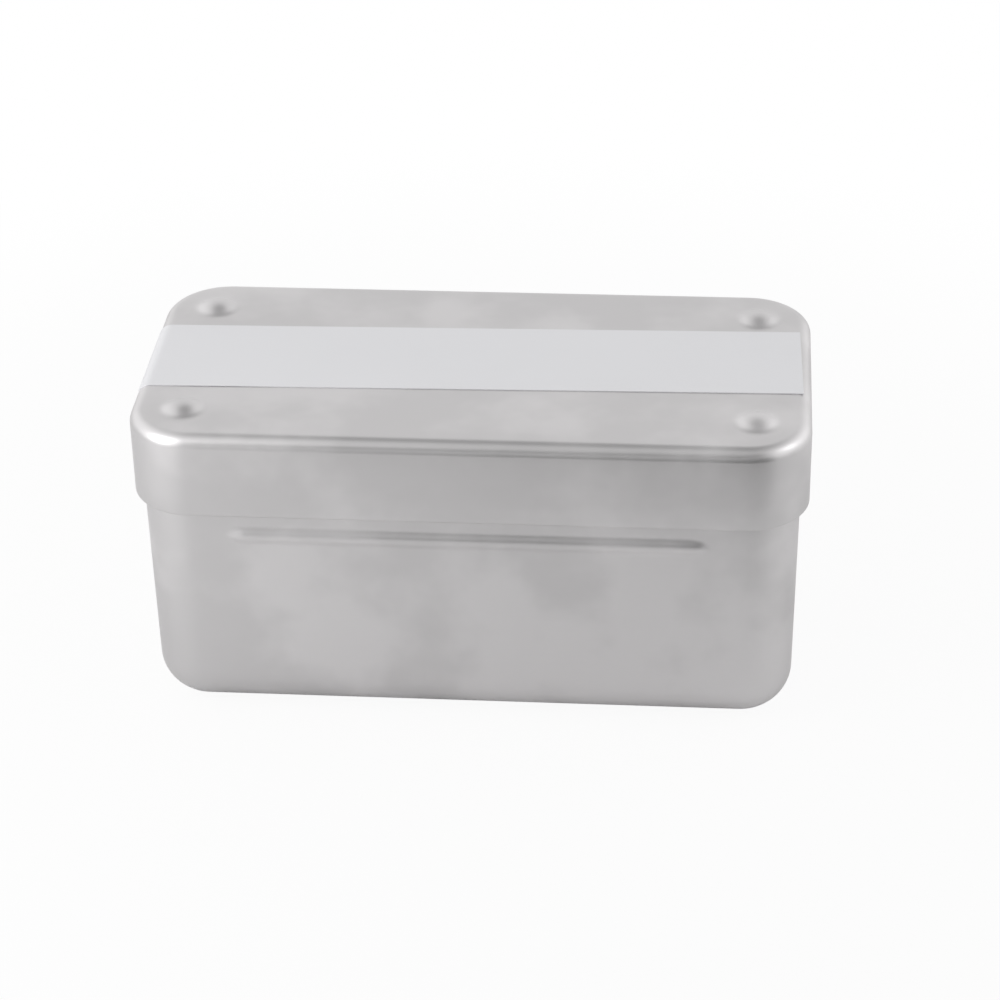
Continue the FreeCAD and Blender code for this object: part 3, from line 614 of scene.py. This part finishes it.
def body_profile(sizes, sheet, rim_round):
    """Section of the box wall, from its inner floor over the rim to its base."""
    rim = BODY_HIGH.z
    lean = math.tan(sizes.draft)
    tilt = math.degrees(sizes.draft)
    corner_out = sizes.corner_radius

    def wall(z, inset):
        return corner_out - inset - (rim - z) * lean

    def rounding(radius, floor, inset):
        centre = (corner_out - inset - (rim - floor - radius) * lean - radius / math.cos(sizes.draft),
                  floor + radius)
        return arc(centre, radius, -tilt, -90, 14)

    centre, half = rim - sizes.bead_drop, sizes.bead_ball + sizes.bead_foot
    heights = (spread(sizes.base_radius * 1.15, centre - half, 4 * MM)
               + spread(centre - half, centre + half, 0.28 * MM)
               + spread(centre + half, rim - rim_round, 4 * MM))
    outer_round = rounding(sizes.base_radius, BODY_LOW.z, 0.0)
    inner_round = rounding(sizes.base_radius - sheet, BODY_LOW.z + sheet, sheet)
    guard = 0.4 * MM
    outer = [(wall(z, 0.0), z) for z in heights] + [(wall(rim - rim_round, 0.0), rim - rim_round)]
    inner = [(wall(z, sheet), z) for z in heights] + [(wall(rim - rim_round, sheet), rim - rim_round)]
    lip = arc((outer[-1][0] - rim_round, rim - rim_round), rim_round, 90, 0, 4)[:-1]
    inner_lip = arc((inner[-1][0] + rim_round, rim - rim_round), rim_round, 180, 90, 4)[1:]
    floor_guard = [(inner_round[-1][0] - guard, inner_round[-1][1])]
    base_guard = [(outer_round[-1][0] - guard, outer_round[-1][1])]
    return (floor_guard + inner_round[::-1] + inner + inner_lip + lip + outer[::-1] + outer_round
            + base_guard)


def bead_stations(sizes, core_x):
    """Places along a long wall, close together where a bead ends."""
    end = sizes.bead_length / 2
    start = end - (sizes.bead_ball + 0.3 * sizes.bead_foot) * sizes.bead_run_out
    stop = min(end + sizes.bead_foot * sizes.bead_run_out, core_x - 1 * MM)
    half = (spread(0.0, start, 6 * MM) + spread(start, stop, 0.4 * MM)
            + spread(stop, core_x, 2 * MM) + [core_x])
    return [-x for x in reversed(half[1:])] + half


def box_shell():
    """The drawn box as one closed mesh."""
    shell, sizes = chosen("shell"), chosen("body")
    core_x = BODY_HIGH.x - sizes.corner_radius
    core_y = LID_HIGH.y - WALL_INSET - sizes.corner_radius
    along_y = spread(-core_y, core_y, 5 * MM) + [core_y]
    ring = stations(core_x, core_y, bead_stations(sizes, core_x), along_y, shell.corner_steps)
    work = bmesh.new()
    profile = body_profile(sizes, shell.sheet, shell.rim_round)
    rows = loft(work, ring, profile, bead_swell(sizes, BODY_HIGH.z))
    work.faces.new(rows[0])
    work.faces.new(rows[-1])
    return mesh_from("box_shell", work)


def lid_profile(sizes, sheet, rim_round):
    """Section of the lid, from its inner roof down its skirt and up over its edge."""
    out, low, top = sizes.corner_radius, LID_LOW.z, LID_TOP
    edge, inner_edge = sizes.edge_radius, sizes.edge_radius - sheet
    roof = top - sheet
    inner_turn = arc((out - sheet - inner_edge, roof - inner_edge), inner_edge, 90, 0, 5)
    outer_turn = arc((out - edge, top - edge), edge, 0, 90, 12)
    small = min(rim_round, sheet / 2)
    rim = (arc((out - sheet + small, low + small), small, 180, 270, 4)
           + arc((out - small, low + small), small, 270, 360, 4))
    steps = [(out - sheet, z) for z in spread(roof - inner_edge, low + small, 4 * MM)[1:]]
    walls = [(out, z) for z in spread(low + small, top - edge, 4 * MM)[1:]]
    return inner_turn + steps + rim + walls + outer_turn


def pipped_sheet(work, outline, height, pips, cap):
    """A flat sheet inside an outline, with a cap raised at each pip."""
    guard = 0.3 * MM
    distances = ([cap.joint * step / 7 for step in range(1, 8)]
                 + [cap.joint + (cap.edge - cap.joint) * step / 4 for step in range(1, 5)]
                 + [cap.edge + guard])
    points = [Vector((vert.co.x, vert.co.y)) for vert in outline]
    inner = []
    for vert in outline:
        flat = Vector((vert.co.x, vert.co.y))
        inner.append(flat - flat.normalized() * guard * 2)
    for pip in pips:
        inner.append(pip)
        for distance in distances:
            for step in range(40):
                turn = math.tau * step / 40
                inner.append(pip + Vector((math.cos(turn), math.sin(turn))) * distance)
    border = [(index, (index + 1) % len(points)) for index in range(len(points))]
    whole = [list(range(len(points)))]
    spots, _, faces, _, _, _ = delaunay_2d_cdt(points + inner, border, whole, 1, 1e-7)
    verts = []
    for place in spots:
        rise = max(cap((place - pip).length) for pip in pips)
        verts.append(work.verts.new((place.x, place.y, height + rise)))
    for face in faces:
        work.faces.new([verts[index] for index in face])


def lid_shell():
    """The drawn lid as one closed mesh, with its four pips pressed through the sheet."""
    shell, sizes = chosen("shell"), chosen("lid")
    core_x = LID_HIGH.x - sizes.corner_radius
    core_y = LID_HIGH.y - sizes.corner_radius
    along_x = spread(-core_x, core_x, 6 * MM) + [core_x]
    along_y = spread(-core_y, core_y, 5 * MM) + [core_y]
    ring = stations(core_x, core_y, along_x, along_y, shell.corner_steps)
    work = bmesh.new()
    rows = loft(work, ring, lid_profile(sizes, shell.sheet, shell.rim_round))
    pips = [Vector(place) for place in at_corners(LID_HIGH.x - sizes.pip_end_inset,
                                                  LID_HIGH.y - sizes.pip_side_inset)]
    outer = cap_profile(sizes.pip_ball, PIP_HEIGHT, sizes.pip_foot)
    inner = cap_profile(sizes.pip_ball - shell.sheet, PIP_HEIGHT, sizes.pip_foot + shell.sheet)
    pipped_sheet(work, rows[-1], LID_TOP, pips, outer)
    pipped_sheet(work, rows[0], LID_TOP - shell.sheet, pips, inner)
    bmesh.ops.remove_doubles(work, verts=work.verts, dist=MERGE)
    return mesh_from("lid_shell", work)


def foil_band():
    """The thin band, which follows the lid's top and folds down round its left edge."""
    sizes, edge = chosen("band"), chosen("lid").edge_radius
    edge_start = LID_HIGH.x - edge
    half = corner("lid_label", 1).x - sizes.width / 2 * math.sin(sizes.turn)
    along = Vector((math.cos(sizes.turn), math.sin(sizes.turn), 0.0))
    across = Vector((-along.y, along.x, 0.0))
    origin = Vector((0.0, sizes.offset, 0.0))
    fine = -half + 6 * MM
    places = spread(-half - sizes.fold, fine, 0.3 * MM) + spread(fine, half, 3 * MM) + [half]
    cuts = [-sizes.width / 2 + sizes.width * step / 24 for step in range(25)]
    work = bmesh.new()
    borders = []
    for rise in (0.0, sizes.thickness):
        sheet = []
        for u in places:
            near_end = max(0.0, 1.0 - abs(u + half * 0.78) / (0.22 * half))
            row = []
            for v in cuts:
                flat = origin + along * u + across * v
                loose = near_end * max(0.0, -v / cuts[-1] - 0.7) / 0.3
                height = rise + 0.01 * MM + sizes.lift * loose
                turn = max(-edge_start - flat.x, 0.0) / edge
                reach = edge + height
                row.append(work.verts.new((max(flat.x, -edge_start) - reach * math.sin(turn), flat.y,
                                           LID_TOP - edge + reach * math.cos(turn))))
            sheet.append(row)
        for one, other in zip(sheet, sheet[1:]):
            for index in range(len(cuts) - 1):
                work.faces.new((one[index], other[index], other[index + 1], one[index + 1]))
        borders.append([row[0] for row in sheet] + sheet[-1][1:]
                       + [row[-1] for row in sheet[-2::-1]] + sheet[0][-2:0:-1])
    low, high = borders
    for index in range(len(low)):
        after = (index + 1) % len(low)
        work.faces.new((low[index], low[after], high[after], high[index]))
    return mesh_from("foil_band", work, math.radians(40))


def rounded(points, radius, steps=3, closed=True, guard=0.1 * MM):
    """A line through points with its corners rounded, and a guard point beside each long run."""
    result = []
    for index, point in enumerate(points):
        here = Vector(point)
        size = radius[index] if isinstance(radius, list) else radius
        if not size or not closed and index in (0, len(points) - 1):
            result.append(here)
            continue
        before = Vector(points[index - 1]) - here
        after = Vector(points[(index + 1) % len(points)]) - here
        half = before.angle(after) / 2
        reach = size / math.tan(half)
        centre = here + (before.normalized() + after.normalized()).normalized() * size / math.sin(half)
        start = here + before.normalized() * reach - centre
        end = here + after.normalized() * reach - centre
        sweep = start.angle(end)
        bend = [centre + (start * math.sin(sweep * (1 - part)) + end * math.sin(sweep * part))
                / math.sin(sweep) for part in (step / steps for step in range(steps + 1))]
        room = 2.2 * (reach + guard)
        if guard and before.length > room:
            bend.insert(0, here + before.normalized() * (reach + guard))
        if guard and after.length > room:
            bend.append(here + after.normalized() * (reach + guard))
        result += bend
    return result


def turned(name, profile, steps=44, closed=False):
    """A solid turned about Z from points of radius and height, which end on the axis or close."""
    work = bmesh.new()
    rows = []
    for radius, height in profile:
        count = steps if radius > MERGE else 1
        rows.append([work.verts.new((radius * math.cos(math.tau * step / steps),
                                     radius * math.sin(math.tau * step / steps), height))
                     for step in range(count)])
    pairs = list(zip(rows, rows[1:])) + ([(rows[-1], rows[0])] if closed else [])
    for low, high in pairs:
        for index in range(steps):
            after = (index + 1) % steps
            face = [low[index % len(low)], low[after % len(low)], high[after % len(high)],
                    high[index % len(high)]]
            face = list(dict.fromkeys(face))
            if len(face) > 2:
                work.faces.new(face)
    return mesh_from(name, work)


def four_corners(slotted=False):
    """A tree that sets its geometry at four corners, each turned by a seeded amount."""
    tree = Growth("four_corners", Along=0.05, Across=0.02, Turn=0.0, Seed=0, Slot=(0.005, 0.0006, 0.002),
                  Slot_Place=(0.0, 0.0, 0.0))
    piece = tree["Geometry"]
    if slotted:
        cutter = tree.node("GeometryNodeMeshCube", Size=tree["Slot"])
        cutter = tree.node("GeometryNodeTransform", Geometry=cutter, Translation=tree["Slot Place"])
        piece = tree.cut(piece, cutter)
    grid = tree.node("GeometryNodeMeshGrid", Size_X=tree["Along"] * 2.0, Size_Y=tree["Across"] * 2.0,
                     Vertices_X=2, Vertices_Y=2)
    turn = tree.node("FunctionNodeRandomValue", {"data_type": "FLOAT"}, output=1, Seed=tree["Seed"])
    turn = tree.node("ShaderNodeCombineXYZ", Z=turn * tree["Turn"])
    spots = tree.node("GeometryNodeInstanceOnPoints", Points=grid, Instance=piece, Rotation=turn)
    return tree.close(spots)


def perforated():
    """A tree that pierces its geometry with a row of holes, each with a funnel mouth."""
    tree = Growth("perforated", Count=6, Span=0.04, Radius=0.001, Mouth=0.0005, Top=0.045, Depth=0.01)
    start = tree.node("ShaderNodeCombineXYZ", Y=tree["Span"] * -0.5, Z=tree["Top"])
    end = tree.node("ShaderNodeCombineXYZ", Y=tree["Span"] * 0.5, Z=tree["Top"])
    row = tree.node("GeometryNodeMeshLine", {"mode": "END_POINTS"}, Count=tree["Count"],
                    Start_Location=start)
    plug(tree.tree, row.socket.node.inputs["Offset"], end)
    drill = tree.node("GeometryNodeMeshCylinder", Vertices=28, Radius=tree["Radius"],
                      Depth=tree["Depth"] * 2.0)
    funnel = tree.node("GeometryNodeMeshCone", Vertices=28, Radius_Top=tree["Radius"] + tree["Mouth"] * 2.0,
                       Radius_Bottom=tree["Radius"] * 0.98, Depth=tree["Mouth"] * 2.0)
    lowered = tree.node("ShaderNodeCombineXYZ", Z=tree["Mouth"] * -1.0)
    funnel = tree.node("GeometryNodeTransform", Geometry=funnel, Translation=lowered)
    solid = tree["Geometry"]
    for cutter in (drill, funnel):
        holes = tree.node("GeometryNodeInstanceOnPoints", Points=row, Instance=cutter)
        solid = tree.cut(solid, tree.node("GeometryNodeRealizeInstances", Geometry=holes))
    return tree.close(solid)


def wire_path():
    """A tree that bends its line of edges round two pairs of radii and gives it thickness."""
    tree = Growth("bent_wire", Wire=0.001, Outer_Bend=0.0035, Pin_Bend=0.0015)
    curve = tree.node("GeometryNodeMeshToCurve", Mesh=tree["Geometry"])
    index = tree.node("GeometryNodeInputIndex")
    outer = tree.node("FunctionNodeCompare", {"data_type": "FLOAT", "operation": "LESS_THAN"})
    away = tree.node("ShaderNodeMath", {"operation": "ABSOLUTE"})
    plug(tree.tree, away.socket.node.inputs[0], index - 2.5)
    plug(tree.tree, outer.socket.node.inputs[0], away)
    plug(tree.tree, outer.socket.node.inputs[1], 1.0)
    radius = tree["Pin Bend"] + (tree["Outer Bend"] - tree["Pin Bend"]) * outer
    bent = tree.node("GeometryNodeFilletCurve", {"mode": "POLY"}, Curve=curve, Radius=radius)
    bent.socket.node.inputs["Count"].default_value = 12
    ring = tree.node("GeometryNodeCurvePrimitiveCircle", Resolution=24, Radius=tree["Wire"])
    tube = tree.node("GeometryNodeCurveToMesh", Curve=bent, Profile_Curve=ring, Fill_Caps=True)
    return tree.close(tube)


def punched(name, outlines, low, high, edge):
    """A punched plate from closed outlines, the first its outside, with every edge rounded."""
    curve = bpy.data.curves.new(name, "CURVE")
    curve.dimensions, curve.fill_mode = "2D", "BOTH"
    curve.extrude, curve.bevel_depth, curve.bevel_resolution = (high - low) / 2 - edge, edge, 2
    curve.offset = -edge
    for outline in outlines:
        spline = curve.splines.new("POLY")
        spline.points.add(len(outline) - 1)
        for point, (x, y) in zip(spline.points, outline):
            point.co = (x, y, 0.0, 1.0)
        spline.use_cyclic_u = True
    sketch = placed(name, curve)
    mesh = evaluated(sketch)
    bpy.data.objects.remove(sketch)
    mesh.transform(Matrix.Translation((0.0, 0.0, (low + high) / 2)))
    return tidy(mesh)


def oblong(x, half_width, half_length, radius, steps=8):
    """A rectangle with round corners about a place on the X axis."""
    corners = [(x - half_width, -half_length), (x + half_width, -half_length),
               (x + half_width, half_length), (x - half_width, half_length)]
    return rounded(corners, radius, steps, guard=0.0)


def ring_of(x, y, radius, steps=36):
    """A round hole about a place."""
    turns = [math.tau * step / steps for step in range(steps)]
    return [(x + radius * math.cos(turn), y + radius * math.sin(turn)) for turn in turns]


def at_corners(x, y):
    """A place mirrored to all four corners."""
    return [(side * x, end * y) for side in (-1, 1) for end in (-1, 1)]


def strip_blank(sizes, node):
    """A strip of flange, neck and lip without its holes, its edges softened."""
    low, high = corner(node, 0), corner(node, 1)
    flange, neck, lip = (high.x - low.x) / 2, sizes.strip_slot / 2 - FIT, sizes.strip_lip / 2
    half = [(lip, low.z), (lip, PLATE_LOW.z), (neck, PLATE_LOW.z), (neck, PLATE_HIGH.z),
            (flange, PLATE_HIGH.z), (flange, high.z)]
    section = half + [(-x, z) for x, z in reversed(half)]
    work = bmesh.new()
    front = [work.verts.new((x, low.y, z)) for x, z in section]
    back = [work.verts.new((x, high.y, z)) for x, z in section]
    work.faces.new(front)
    work.faces.new(back[::-1])
    for index in range(len(section)):
        after = (index + 1) % len(section)
        work.faces.new((front[index], back[index], back[after], front[after]))
    bmesh.ops.recalc_face_normals(work, faces=work.faces)
    bmesh.ops.bevel(work, geom=work.edges, offset=0.35 * MM, segments=3, profile=0.5, affect="EDGES",
                    clamp_overlap=True)
    return mesh_from(node, work)


class FILEBOX_OT_box(bpy.types.Operator):
    """Build the drawn box with its beads"""
    bl_idname = "file_box.box"
    bl_label = "Drawn Box"

    def execute(self, context):
        new_piece("box_shell", box_shell(), ["box_body"], "box", shared(satin_aluminium))
        return {"FINISHED"}


class FILEBOX_OT_lid(bpy.types.Operator):
    """Build the drawn lid with its raised pips"""
    bl_idname = "file_box.lid"
    bl_label = "Drawn Lid"

    def execute(self, context):
        new_piece("lid_shell", lid_shell(), ["lid"], "lid", shared(satin_aluminium))
        return {"FINISHED"}


class FILEBOX_OT_label(bpy.types.Operator):
    """Lay the bare foil band on the lid"""
    bl_idname = "file_box.label"
    bl_label = "Foil Band"

    def execute(self, context):
        new_piece("foil_band", foil_band(), ["lid_label"], "lid", silver_foil())
        return {"FINISHED"}


def shared(make):
    """A material that several pieces share, made once."""
    return bpy.data.materials.get(make.__name__) or make()


class FILEBOX_OT_plates(bpy.types.Operator):
    """Punch the rack plate and the guide plate"""
    bl_idname = "file_box.plates"
    bl_label = "Rack Plates"

    def execute(self, context):
        sizes = chosen("rack")
        centres = [middle(f"strip_{colour}").x for colour in STRIP_COLOURS]
        strip_half = corner("strip_white", 1).y + FIT
        rivet = corner("bracket_rivets", 1)
        head = corner("rack_screws", 1).x - POST.x
        upper = [oblong(0.0, PLATE_HIGH.x, PLATE_HIGH.y, sizes.plate_corner)]
        upper += [oblong(x, sizes.strip_slot / 2, strip_half, 0.4 * MM, 3) for x in centres]
        upper += [oblong((x + after) / 2, sizes.drain_width / 2, sizes.drain_length / 2,
                         sizes.drain_width / 2 - MERGE) for x, after in zip(centres, centres[1:])]
        upper += [ring_of(x, y, head + FIT) for x, y in at_corners(POST.x, POST.y)]
        upper += [ring_of(x, y, sizes.rivet_shank + FIT)
                  for x, y in at_corners(rivet.x - RIVET_RADIUS, rivet.y - RIVET_RADIUS)]
        lower = [oblong(0.0, GUIDE_HIGH.x, GUIDE_HIGH.y, sizes.guide_corner)]
        reach = strip_half - sizes.hole_margin + sizes.guide_width / 2
        lower += [oblong(x, sizes.guide_width / 2, reach, sizes.guide_width / 2 - MERGE) for x in centres]
        lower += [ring_of(x, y, sizes.shank + FIT) for x, y in at_corners(POST.x, POST.y)]
        skin = shared(brushed_aluminium)
        for name, outlines, low, high in (("rack_plate", upper, PLATE_LOW.z, PLATE_HIGH.z),
                                          ("guide_plate", lower, GUIDE_LOW.z, GUIDE_HIGH.z)):
            mesh = punched(f"punched_{name}", outlines, low, high, sizes.edge)
            new_piece(f"punched_{name}", mesh, [name], "rack", skin)
        return {"FINISHED"}


class FILEBOX_OT_strips(bpy.types.Operator):
    """Mould the six coloured strips and pierce their holes"""
    bl_idname = "file_box.strips"
    bl_label = "Silicone Strips"

    def execute(self, context):
        sizes = chosen("rack")
        tree = perforated()
        for colour, rgb in STRIP_COLOURS.items():
            node = f"strip_{colour}"
            low, high = corner(node, 0), corner(node, 1)
            span = high.y - low.y - 2 * (sizes.hole_margin - FIT)
            mesh = tree.grow(f"pierced_{node}", silicone(f"silicone_{colour}", rgb),
                             strip_blank(sizes, node), Count=sizes.hole_count, Span=span, Top=high.z,
                             Radius=sizes.hole_radius, Mouth=sizes.mouth, Depth=high.z - low.z + MM)
            mesh.transform(Matrix.Translation((middle(node).x, 0.0, 0.0)))
            new_piece(f"pierced_{node}", mesh, [node], "rack")
        return {"FINISHED"}


class FILEBOX_OT_fittings(bpy.types.Operator):
    """Turn the posts, legs, screws, rivets and feet, and set them at the rack's corners"""
    bl_idname = "file_box.fittings"
    bl_label = "Posts, Legs, Feet, Screws and Rivets"

    def execute(self, context):
        sizes, steel = chosen("rack"), shared(polished_steel)
        plain, slotted = four_corners(), four_corners(slotted=True)
        corners = {"Along": POST.x, "Across": POST.y, "Seed": sizes.seed}

        def fit(name, nodes, slot, material, shape, tree=plain, **values):
            mesh = tree.grow(name, material, shape, **{**corners, **values})
            new_piece(name, mesh, nodes, "rack")

        legs, posts = ([f"rack_{kind}_{index}" for index in range(1, 5)] for kind in ("leg", "post"))
        leg_low, leg_high = corner(legs[2], 0), corner(legs[2], 1)
        wide, bore = POST.x - leg_low.x, sizes.shank + FIT
        post = [(bore, GUIDE_HIGH.z), (wide, GUIDE_HIGH.z), (wide, PLATE_LOW.z), (bore, PLATE_LOW.z)]
        leg = [(0.0, leg_low.z), (wide, leg_low.z), (wide, GUIDE_LOW.z), (sizes.shank, GUIDE_LOW.z),
               (sizes.shank, leg_high.z), (0.0, leg_high.z)]
        screw_low, screw_high = corner("rack_screws", 0), corner("rack_screws", 1)
        head = screw_high.x - POST.x
        screw = [(0.0, screw_low.z), (sizes.shank, screw_low.z),
                 (sizes.shank, screw_high.z - head + sizes.shank), (head, screw_high.z),
                 (0.0, screw_high.z)]
        foot_low, foot_high = corner("rack_feet", 0), corner("rack_feet", 1)
        foot, cup = foot_high.x - POST.x, wide + FIT
        feet = [(0.0, foot_low.z), (foot, foot_low.z), (foot, foot_high.z), (cup, foot_high.z),
                (cup, leg_low.z), (0.0, leg_low.z)]
        edge, soft = sizes.edge, 0.6 * MM
        fit("turned_posts", posts, "stainless_steel", steel,
            turned("post", rounded(post, edge), closed=True))
        fit("turned_legs", legs, "stainless_steel", steel,
            turned("leg", rounded(leg, edge, closed=False)))
        fit("slotted_screws", ["rack_screws"], "stainless_steel", steel,
            turned("screw", rounded(screw, edge / 2, closed=False)), slotted,
            Slot=(0.02, 0.7 * MM, 1.4 * MM), Slot_Place=(0.0, 0.0, screw_high.z), Turn=math.pi)
        cup_edges = [0.0, soft, soft / 3, edge, edge, 0.0]
        fit("cup_feet", ["rack_feet"], "foot_silicone",
            silicone("foot_silicone", tuple(chosen("finish").feet)),
            turned("foot", rounded(feet, cup_edges, closed=False)))
        rivet_low, rivet_high = corner("bracket_rivets", 0), corner("bracket_rivets", 1)
        rise = sizes.rivet_head
        ball = (RIVET_RADIUS ** 2 + rise ** 2) / (2 * rise)
        rim = math.degrees(math.acos(RIVET_RADIUS / ball))
        rivet = arc((0.0, rivet_low.z + ball), ball, -90, -rim, 6)
        rivet += [(sizes.rivet_shank, rivet_low.z + rise), (sizes.rivet_shank, rivet_high.z - rise)]
        rivet += arc((0.0, rivet_high.z - ball), ball, rim, 90, 6)
        fit("domed_rivets", ["bracket_rivets"], "rack_aluminium", shared(brushed_aluminium),
            turned("rivet", rivet), Along=rivet_high.x - RIVET_RADIUS,
            Across=rivet_high.y - RIVET_RADIUS)
        return {"FINISHED"}


class FILEBOX_OT_brackets(bpy.types.Operator):
    """Finish the four bent brackets"""
    bl_idname = "file_box.brackets"
    bl_label = "Handle Brackets"

    def execute(self, context):
        steel = shared(polished_steel)
        for name in frame["nodes"]:
            if name.startswith("bracket_") and name != "bracket_rivets":
                mesh = frame["nodes"][name].data
                mesh.materials.clear()
                mesh.materials.append(steel)
        return {"FINISHED"}


class FILEBOX_OT_handles(bpy.types.Operator):
    """Bend the two wire handles"""
    bl_idname = "file_box.handles"
    bl_label = "Wire Handles"

    def execute(self, context):
        sizes = chosen("handle")
        steel = shared(polished_steel)
        tree = wire_path()
        bends = [(0.0, -sizes.pin_gap), (0.0, -sizes.half_width), (sizes.reach, -sizes.half_width),
                 (sizes.reach, sizes.half_width), (0.0, sizes.half_width), (0.0, sizes.pin_gap)]
        for node, side in (("handle_left", -1.0), ("handle_right", 1.0)):
            pivot = PIVOTS[node]
            points = [(pivot.x + side * x * math.cos(sizes.tilt), y, pivot.z - x * math.sin(sizes.tilt))
                      for x, y in bends]
            line = bpy.data.meshes.new(node)
            line.from_pydata(points, [(index, index + 1) for index in range(len(points) - 1)], [])
            mesh = tree.grow(f"bent_{node}", steel, line, Wire=sizes.wire, Outer_Bend=sizes.outer_bend,
                             Pin_Bend=sizes.pin_bend)
            new_piece(f"bent_{node}", mesh, [node], node)
        return {"FINISHED"}


def camera():
    """The camera at the photograph's viewing angle."""
    stage = chosen("stage")
    turn, rise, roll = stage.azimuth, stage.elevation, stage.roll
    back = Vector((math.sin(turn) * math.cos(rise), -math.cos(turn) * math.cos(rise), math.sin(rise)))
    right = (-back).cross(Vector((0.0, 0.0, 1.0))).normalized()
    up = right.cross(-back)
    rolled_right = right * math.cos(roll) + up * math.sin(roll)
    rolled_up = up * math.cos(roll) - right * math.sin(roll)
    data = bpy.data.cameras.new("camera")
    data.sensor_width = 36.0
    data.lens = stage.lens
    data.clip_start, data.clip_end = 0.01, 20.0
    view = placed("camera", data)
    axes = Matrix((rolled_right, rolled_up, back)).transposed().to_4x4()
    view.matrix_world = Matrix.Translation(Vector(stage.aim) + back * stage.distance) @ axes
    bpy.context.scene.camera = view


def lamp(name, place, target, size, power):
    """A rectangular softbox that faces a target."""
    data = bpy.data.lights.new(name, "AREA")
    data.shape = "RECTANGLE"
    data.size, data.size_y = size
    data.energy = power
    light = placed(name, data)
    light.visible_camera = False
    light.location = place
    light.rotation_mode = "QUATERNION"
    light.rotation_quaternion = (Vector(target) - Vector(place)).to_track_quat("-Z", "Y")


def stage_sheet(name, corners, material):
    """A flat piece of the stage."""
    mesh = bpy.data.meshes.new(name)
    mesh.from_pydata(corners, [], [(0, 1, 2, 3)])
    mesh.materials.append(material)
    sheet = placed(name, mesh)
    return sheet


def floor():
    """A pale floor that the camera sees as white, with the box's faint shadow on it."""
    stage = chosen("stage")
    finish = Finish("floor")
    finish.feed(Base_Color=tuple(stage.floor), Roughness=0.9)
    camera, glossy, transmission = (finish.node("ShaderNodeLightPath", output=f"Is {kind} Ray")
                                    for kind in ("Camera", "Glossy", "Transmission"))
    x, y, _ = finish.axes(finish.place())
    far = finish.ramp(x * x + y * y, *FLOOR_FADE)
    mirrored = (glossy + transmission) * stage.mirrored * far
    seen = camera * (stage.whiteness + (1.0 - stage.whiteness) * far) + mirrored
    both = finish.either(seen, finish.shader.outputs[0], finish.node("ShaderNodeEmission", Color=WHITE))
    plug(finish.tree, finish.output.inputs["Surface"], both)
    stage_sheet("floor", [(x * FLOOR_HALF, y * FLOOR_HALF, 0.0)
                          for x, y in ((-1, -1), (1, -1), (1, 1), (-1, 1))], finish.material)


def cards():
    """The dark cards in front, out of the camera's sight, that the metal's edges mirror."""
    finish = Finish("card")
    finish.feed(Base_Color=tuple(chosen("stage").card), Roughness=0.9)
    for name, ends in CARDS.items():
        (left, near, low, high), (right, far, base, top) = ([value * MM for value in end] for end in ends)
        corners = [(left, near, low), (right, far, base), (right, far, top), (left, near, high)]
        stage_sheet(name, corners, finish.material).visible_camera = False


def room():
    """The room's soft light: bright all round, with a dark patch high behind the box."""
    stage = chosen("stage")
    world = bpy.data.worlds.new("room")
    bpy.context.scene.world = world
    world.use_nodes = True
    nodes = Nodes(world.node_tree)
    across, deep, high = nodes.axes(nodes.node("ShaderNodeTexCoord", output="Generated"))
    behind = nodes.ramp(deep, *BEHIND)
    beside = nodes.ramp(across * across, *BESIDE)
    front = nodes.ramp(across, *ACROSS_FRONT, stage.front_left, stage.front_right)
    around = front + (stage.backdrop - front) * behind
    around = around + (stage.sides - around) * beside
    aside = high * math.cos(stage.dark_rise) - deep * math.sin(stage.dark_rise)
    along, over = (math.sin(half) ** -2 for half in stage.dark_spread)
    dark = nodes.ramp(across * across * along + aside * aside * over, *PATCH_EDGE, 1.0, 0.0)
    level = around + (stage.overhead - around) * dark
    shade = nodes.node("ShaderNodeBackground", Strength=level, Color=WHITE)
    output = nodes.tree.nodes.new("ShaderNodeOutputWorld")
    plug(nodes.tree, output.inputs["Surface"], shade)


class FILEBOX_OT_stage(bpy.types.Operator):
    """Set up the pale floor, the soft light and the camera"""
    bl_idname = "file_box.stage"
    bl_label = "Stage"

    def execute(self, context):
        context.scene.view_settings.view_transform = "Standard"
        camera()
        floor()
        cards()
        room()
        for name, place, target, size, power in SOFTBOXES:
            lamp(name, place, target, size, power)
        return {"FINISHED"}


class FILEBOX_PT_panel(bpy.types.Panel):
    """Steps that build and dress the file box"""
    bl_idname = "FILEBOX_PT_panel"
    bl_label = "File Box"
    bl_space_type = "VIEW_3D"
    bl_region_type = "UI"
    bl_category = "File Box"

    def draw(self, context):
        for group in map(chosen, SETTINGS):
            column = self.layout.box().column()
            for name in group.bl_rna.properties.keys():
                if name not in ("rna_type", "name"):
                    column.prop(group, name)
        for step in STEPS:
            self.layout.operator(step.bl_idname)


STEPS = [FILEBOX_OT_stage, FILEBOX_OT_box, FILEBOX_OT_lid, FILEBOX_OT_label, FILEBOX_OT_plates,
         FILEBOX_OT_strips, FILEBOX_OT_fittings, FILEBOX_OT_brackets, FILEBOX_OT_handles]
CLASSES = (*SETTINGS.values(), *STEPS, FILEBOX_PT_panel)


def register():
    """Adds the classes and their settings."""
    for group in CLASSES:
        bpy.utils.register_class(group)
    for name, group in SETTINGS.items():
        setattr(bpy.types.Scene, f"file_box_{name}", bpy.props.PointerProperty(type=group))


def unregister():
    """Removes the classes and their settings."""
    for name in SETTINGS:
        delattr(bpy.types.Scene, f"file_box_{name}")
    for group in reversed(CLASSES):
        bpy.utils.unregister_class(group)


def main():
    """Builds everything in order."""
    register()
    for step in STEPS:
        family, name = step.bl_idname.split(".")
        getattr(getattr(bpy.ops, family), name)()


if __name__ == "__main__":
    main()
